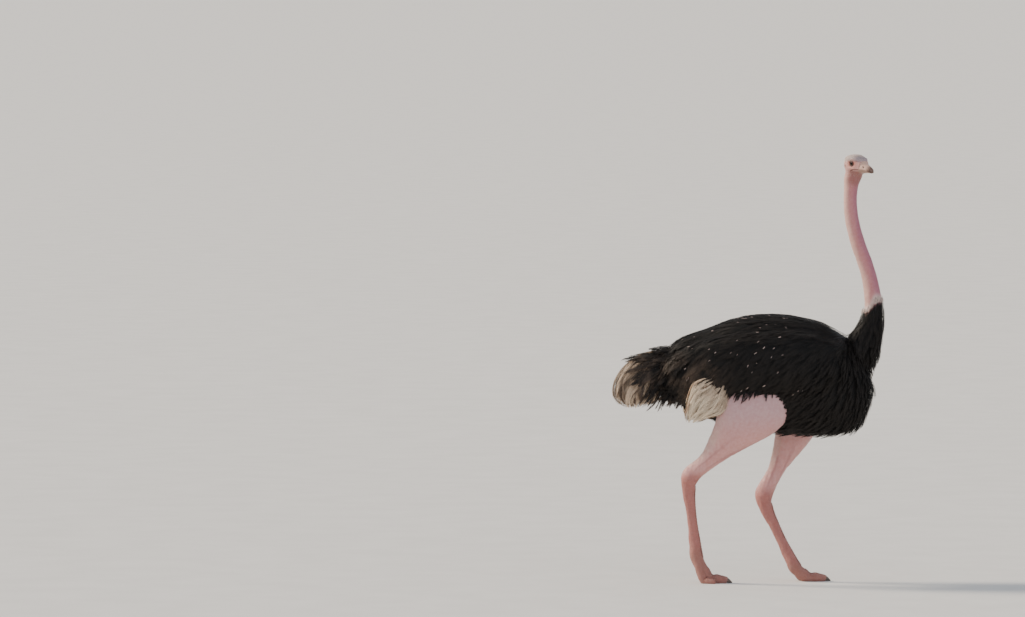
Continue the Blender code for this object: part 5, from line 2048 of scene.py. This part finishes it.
    def make_collar(self) -> None:
        """The pale collar above the black plumage of the neck."""
        limb, top = self.head.limb, self.head.collar
        places = np.linspace(0.20, 0.40, 40)
        ground = Bed(limb.grid(places, BED_COLUMNS), Unwrap.NECK.value, (0.1, 0.35))
        place = np.concatenate([np.repeat(places, BED_COLUMNS), places[[0, -1]]])
        _, run, _, _, _ = limb.frames(place)
        ground.dress(-run, 0.013 + 0 * place, 0.003 + 0 * place, np.ones(len(place)))
        height = place + self.nape(ground.out)
        ring = step(height, top - 0.022, top - 0.015) * step(height, top + 0.006, top - 0.006)
        store(ground.mesh, cover=ring * (place > 0.21) * (place < 0.39))
        fluff = shape_set("fluff", TuftShape, (5, 0.55, 0.07), (1, 2, 3))
        white = PlumeFinish("collar_plume", PlumeColour.COLLAR, 0.70).material()
        self.tree.grow(
            "collar", ground.mesh, "white_plume", Bed=self.form, Shapes=fluff, Finish=white, Spacing=0.0040,
            Turn=0.55, Root=0.0030, Uneven=0.45, Seed=137,
        )

    def make_thighs(self, legs: Sequence[Leg]) -> None:
        """The plumes that hang over the top of each thigh."""
        for leg in legs:
            places = np.linspace(0.0, 0.20, 30)
            bed = Bed(leg.limb.grid(places, BED_COLUMNS, leg.swell), leg.patch, (0.0, 0.2))
            points, even = bed.points, np.ones(len(bed.points))
            bed.dress(np.tile([-0.42, 0.0, -1.0], (len(points), 1)), 0.072 * even, 0.014 * even, even)
            outer = step(bed.out[:, 1] * leg.side, 0.05, 0.30)
            edge = 1.090 + 0.036 * bell(points[:, 0], 0.11, 0.075) + 0.008 * ripple(points, 0.09, 47)
            store(bed.mesh, cover=outer * (points[:, 2] > edge))
            self.tree.grow(
                "coat_thigh_" + leg.word, bed.mesh, "black_plume",
                Bed=new_object("bed_copy", bed.mesh.copy(), helper=True), Shapes=self.plumes,
                Finish=self.black, Spacing=0.0108, Turn=0.40, Root=0.001, Uneven=0.30, Seed=151,
            )


@dataclass
class HangingPlumes:
    """A bunch of long plumes that hang along a curved form, as the tail and the white wing plumes do."""

    name: str
    rows: Rows
    colours: PlumeColour
    slot: str
    node: str
    count: int
    length: Pair  # share of the form that one plume runs along, least and most
    starts: Pair  # where along the form they start, least and most
    shell: Pair  # how far out they lie, from the first to the last
    width: float
    strays: float  # share of the plumes whose tips take the stray colour
    speck: Pair
    wander: float
    side: int = 1
    seed: int = 5
    switch: Pair = (0.35, 0.75)
    ends: Pair = (0.84, 1.0)
    root: float = 0.86  # factor on how far out they lie at the root

    def make(self) -> None:
        """The bunch, on the body."""
        rng = np.random.default_rng(self.seed)
        limb = Limb(placed(self.rows, self.side), 2.1)
        tables = []
        for k in range(4):
            vane = PlumeShape(54, 0.30, 0.70, 0.010, 0.16, 0.03, self.seed + k).mesh("vane")
            along = read(vane.attributes["reach"].data, "value").astype(float)
            tables.append((points_of(vane), along, faces_of(vane)))
        points, faces, reach, tuft, maps = [], [], [], [], []
        total = 0
        for k in range(self.count):
            ring = math.sqrt((k + 0.5) / self.count)
            angle = TURN * ((k * GOLDEN) % 1.0) + rng.normal(0, 0.08)
            start = rng.uniform(*self.starts)
            run = rng.uniform(*self.length)
            end = min(start + run, rng.uniform(*self.ends))
            radius = self.shell[0] + (self.shell[1] - self.shell[0]) * ring
            shape, along, flat = tables[k % len(tables)]
            s = start + (end - start) * np.clip(shape[:, 0], 0.0, 1.02)
            centre, forward, across, deep, size = limb.frames(s)
            grow = radius * (self.root + (1.0 - self.root) * np.clip(s * 2.0, 0, 1))
            wave = angle + self.wander * np.sin(3.0 * shape[:, 0] + k)
            c, sn = np.cos(wave), np.sin(wave)
            root = centre + deep * (size[:, 0] * c * grow)[:, None]
            root += across * (size[:, 1] * sn * grow)[:, None]
            out = unit(deep * (c / size[:, 0])[:, None] + across * (sn / size[:, 1])[:, None])
            beside = unit(np.cross(forward, out))
            wide = self.width * rng.uniform(0.8, 1.15)
            points.append(root + beside * (shape[:, 1] * wide)[:, None] + out * (shape[:, 2] * wide)[:, None])
            faces += [[i + total for i in face] for face in flat]
            reach.append(np.clip(start * 0.6 + along * (1.0 - start * 0.6), 0.0, 1.0))
            tuft.append(np.full(len(shape), rng.uniform()))
            root_place = Unwrap.TRUNK.value.spread(0.02 + 0.03 * start, (angle / TURN) % 1.0)
            maps.append(root_place + MAP_SHARE * (shape[:, :2] - [0.5, 0.0]))
            total += len(shape)
        mesh = mesh_from(self.name, np.vstack(points), faces)
        mesh.update()
        store(mesh, reach=np.concatenate(reach), tuft=np.concatenate(tuft))
        set_map(mesh, "OFBake", np.vstack(maps)[corners_of(mesh)])
        finish = PlumeFinish(
            self.name + "_plume", self.colours, 0.68, self.strays, self.switch, 0.35, self.speck
        )
        mesh.materials.append(finish.material())
        ride(new_object(self.name, mesh), self.slot, self.node)


WHITE_ROWS = (
    # x, distance from the middle, z, half depth, half thickness of the white plumes behind a wing
    (-0.140, 0.200, 1.168, 0.044, 0.020), (-0.178, 0.208, 1.114, 0.096, 0.042),
    (-0.224, 0.206, 1.056, 0.118, 0.048), (-0.276, 0.197, 1.000, 0.086, 0.040),
    (-0.316, 0.186, 0.946, 0.050, 0.025), (-0.336, 0.178, 0.906, 0.018, 0.008),
)
TAIL_ROWS = (
    # x, y, z, half depth, half width of the tail
    (-0.390, 0.0, 1.228, 0.096, 0.085), (-0.460, 0.0, 1.212, 0.112, 0.105),
    (-0.538, 0.0, 1.180, 0.134, 0.125), (-0.600, 0.0, 1.124, 0.138, 0.136),
    (-0.628, 0.0, 1.070, 0.138, 0.138), (-0.636, 0.0, 1.020, 0.112, 0.114),
    (-0.636, 0.0, 0.985, 0.052, 0.054),
)


# The floor, the light and the camera


@dataclass
class Studio:
    """A plain pale floor, soft light from the bird's rear left, and the camera."""

    target: Triple = (-1.327, 0.0, 1.542)
    distance: float = 40.0
    rise: float = math.radians(3.0)
    lens: float = 250.0
    floor: float = 600.0

    def make(self) -> None:
        """Sets up the studio."""
        self.make_floor()
        self.make_light()
        self.make_camera()

    def make_floor(self) -> None:
        """The floor disc."""
        build = bmesh.new()
        bmesh.ops.create_circle(build, cap_ends=True, segments=96, radius=self.floor)
        mesh = bpy.data.meshes.new("floor")
        build.to_mesh(mesh)
        build.free()
        made = Shading("floor", 0.85)
        grain = made.noise(3.0, 2.0, made.place())
        made.give(Base_Color=made.mix(made.between(grain, 0.3, 0.7), (0.70, 0.68, 0.65), (0.74, 0.72, 0.69)))
        mesh.materials.append(made.material)
        new_object("floor", mesh)

    def make_light(self) -> None:
        """A pale sky, a warm key and a cool fill."""
        world = bpy.data.worlds.new("sky")
        world.use_nodes = True
        background = world.node_tree.nodes["Background"]
        background.inputs["Color"].default_value = (0.80, 0.86, 0.95, 1.0)
        background.inputs["Strength"].default_value = 0.70
        bpy.context.scene.world = world
        suns = (
            ("key", 4.6, 12.0, (1.0, 0.88, 0.72), (-0.86, 0.22, 0.60)),
            ("fill", 0.55, 60.0, (0.92, 0.95, 1.0), (0.35, -1.0, 0.55)),
        )
        for name, energy, wide, colour, towards in suns:
            light = bpy.data.lights.new(name, "SUN")
            light.energy, light.angle, light.color = energy, math.radians(wide), colour
            lamp = bpy.data.objects.new(name, light)
            lamp.rotation_euler = Vector(towards).to_track_quat("Z", "Y").to_euler()
            bpy.context.scene.collection.objects.link(lamp)

    def make_camera(self) -> None:
        """The camera, level with the bird's back and far away."""
        camera = bpy.data.cameras.new("camera")
        camera.lens, camera.sensor_width, camera.clip_end = self.lens, 36.0, 2000.0
        holder = bpy.data.objects.new("camera", camera)
        bpy.context.scene.collection.objects.link(holder)
        away = Vector((0.0, -math.cos(self.rise), math.sin(self.rise)))
        holder.location = Vector(self.target) + away * self.distance
        holder.rotation_euler = away.to_track_quat("Z", "Y").to_euler()
        bpy.context.scene.camera = holder


def clear_helpers() -> None:
    """Removes the beds and plume shapes that the finished pieces no longer need."""
    nodes = set(frame["nodes"].values())
    for obj in list(bpy.data.objects):
        if obj.type == "MESH" and obj not in nodes and (obj.hide_render or not obj.users_scene):
            bpy.data.objects.remove(obj)
    for group in list(bpy.data.collections):
        if not group.objects and not group.children:
            bpy.data.collections.remove(group)


def main() -> None:
    """Builds the bird, piece by piece, and its studio."""
    logging.basicConfig(level=logging.INFO, format="%(message)s")
    Studio().make()
    head, trunk = HeadAndNeck(), TrunkForm()
    legs = [Leg(side, word) for side, word in SIDES]
    skin = Skin(head, legs, trunk).make()
    flesh = ["neck_lower", "neck_upper", "head"]
    limbs = ("thigh", "drumstick", "shank", "toe_big", "toe_small")
    flesh += [f"{part}_{word}" for part in limbs for _, word in SIDES]
    ride(skin, "neck_skin", "trunk", "neck_base", *flesh)
    Eyes().make()
    Bill().make()
    claw_horn = HornFinish("claw_horn", (0.20, 0.14, 0.11), (0.04, 0.03, 0.025)).material()
    for leg in legs:
        Claws().make(leg, claw_horn)
    tree = CoatTree()
    coat = BlackCoat(trunk, head, tree)
    coat.make()
    coat.make_thighs(legs)
    HangingPlumes(
        "tail_plumes", TAIL_ROWS, PlumeColour.TAIL, "tail_plume", "tail", count=250, length=(0.45, 0.80),
        starts=(0.0, 0.42), shell=(0.45, 1.03), width=0.085, strays=0.38, speck=(0.42, 0.82), wander=0.24,
        switch=(0.50, 0.78),
    ).make()
    for side, word in SIDES:
        HangingPlumes(
            "white_plumes_" + word, WHITE_ROWS, PlumeColour.WHITE, "white_plume", "wing_plumes_" + word,
            count=190, length=(0.40, 0.85), starts=(0.0, 0.5), shell=(0.35, 1.08), width=0.070, strays=0.20,
            speck=(0.25, 0.75), wander=0.20, side=side, seed=9 + side, ends=(0.55, 1.0),
        ).make()
    Down(head, tree).make()
    Scutes(tree, legs).make()
    clear_helpers()


if __name__ == "__main__":
    main()
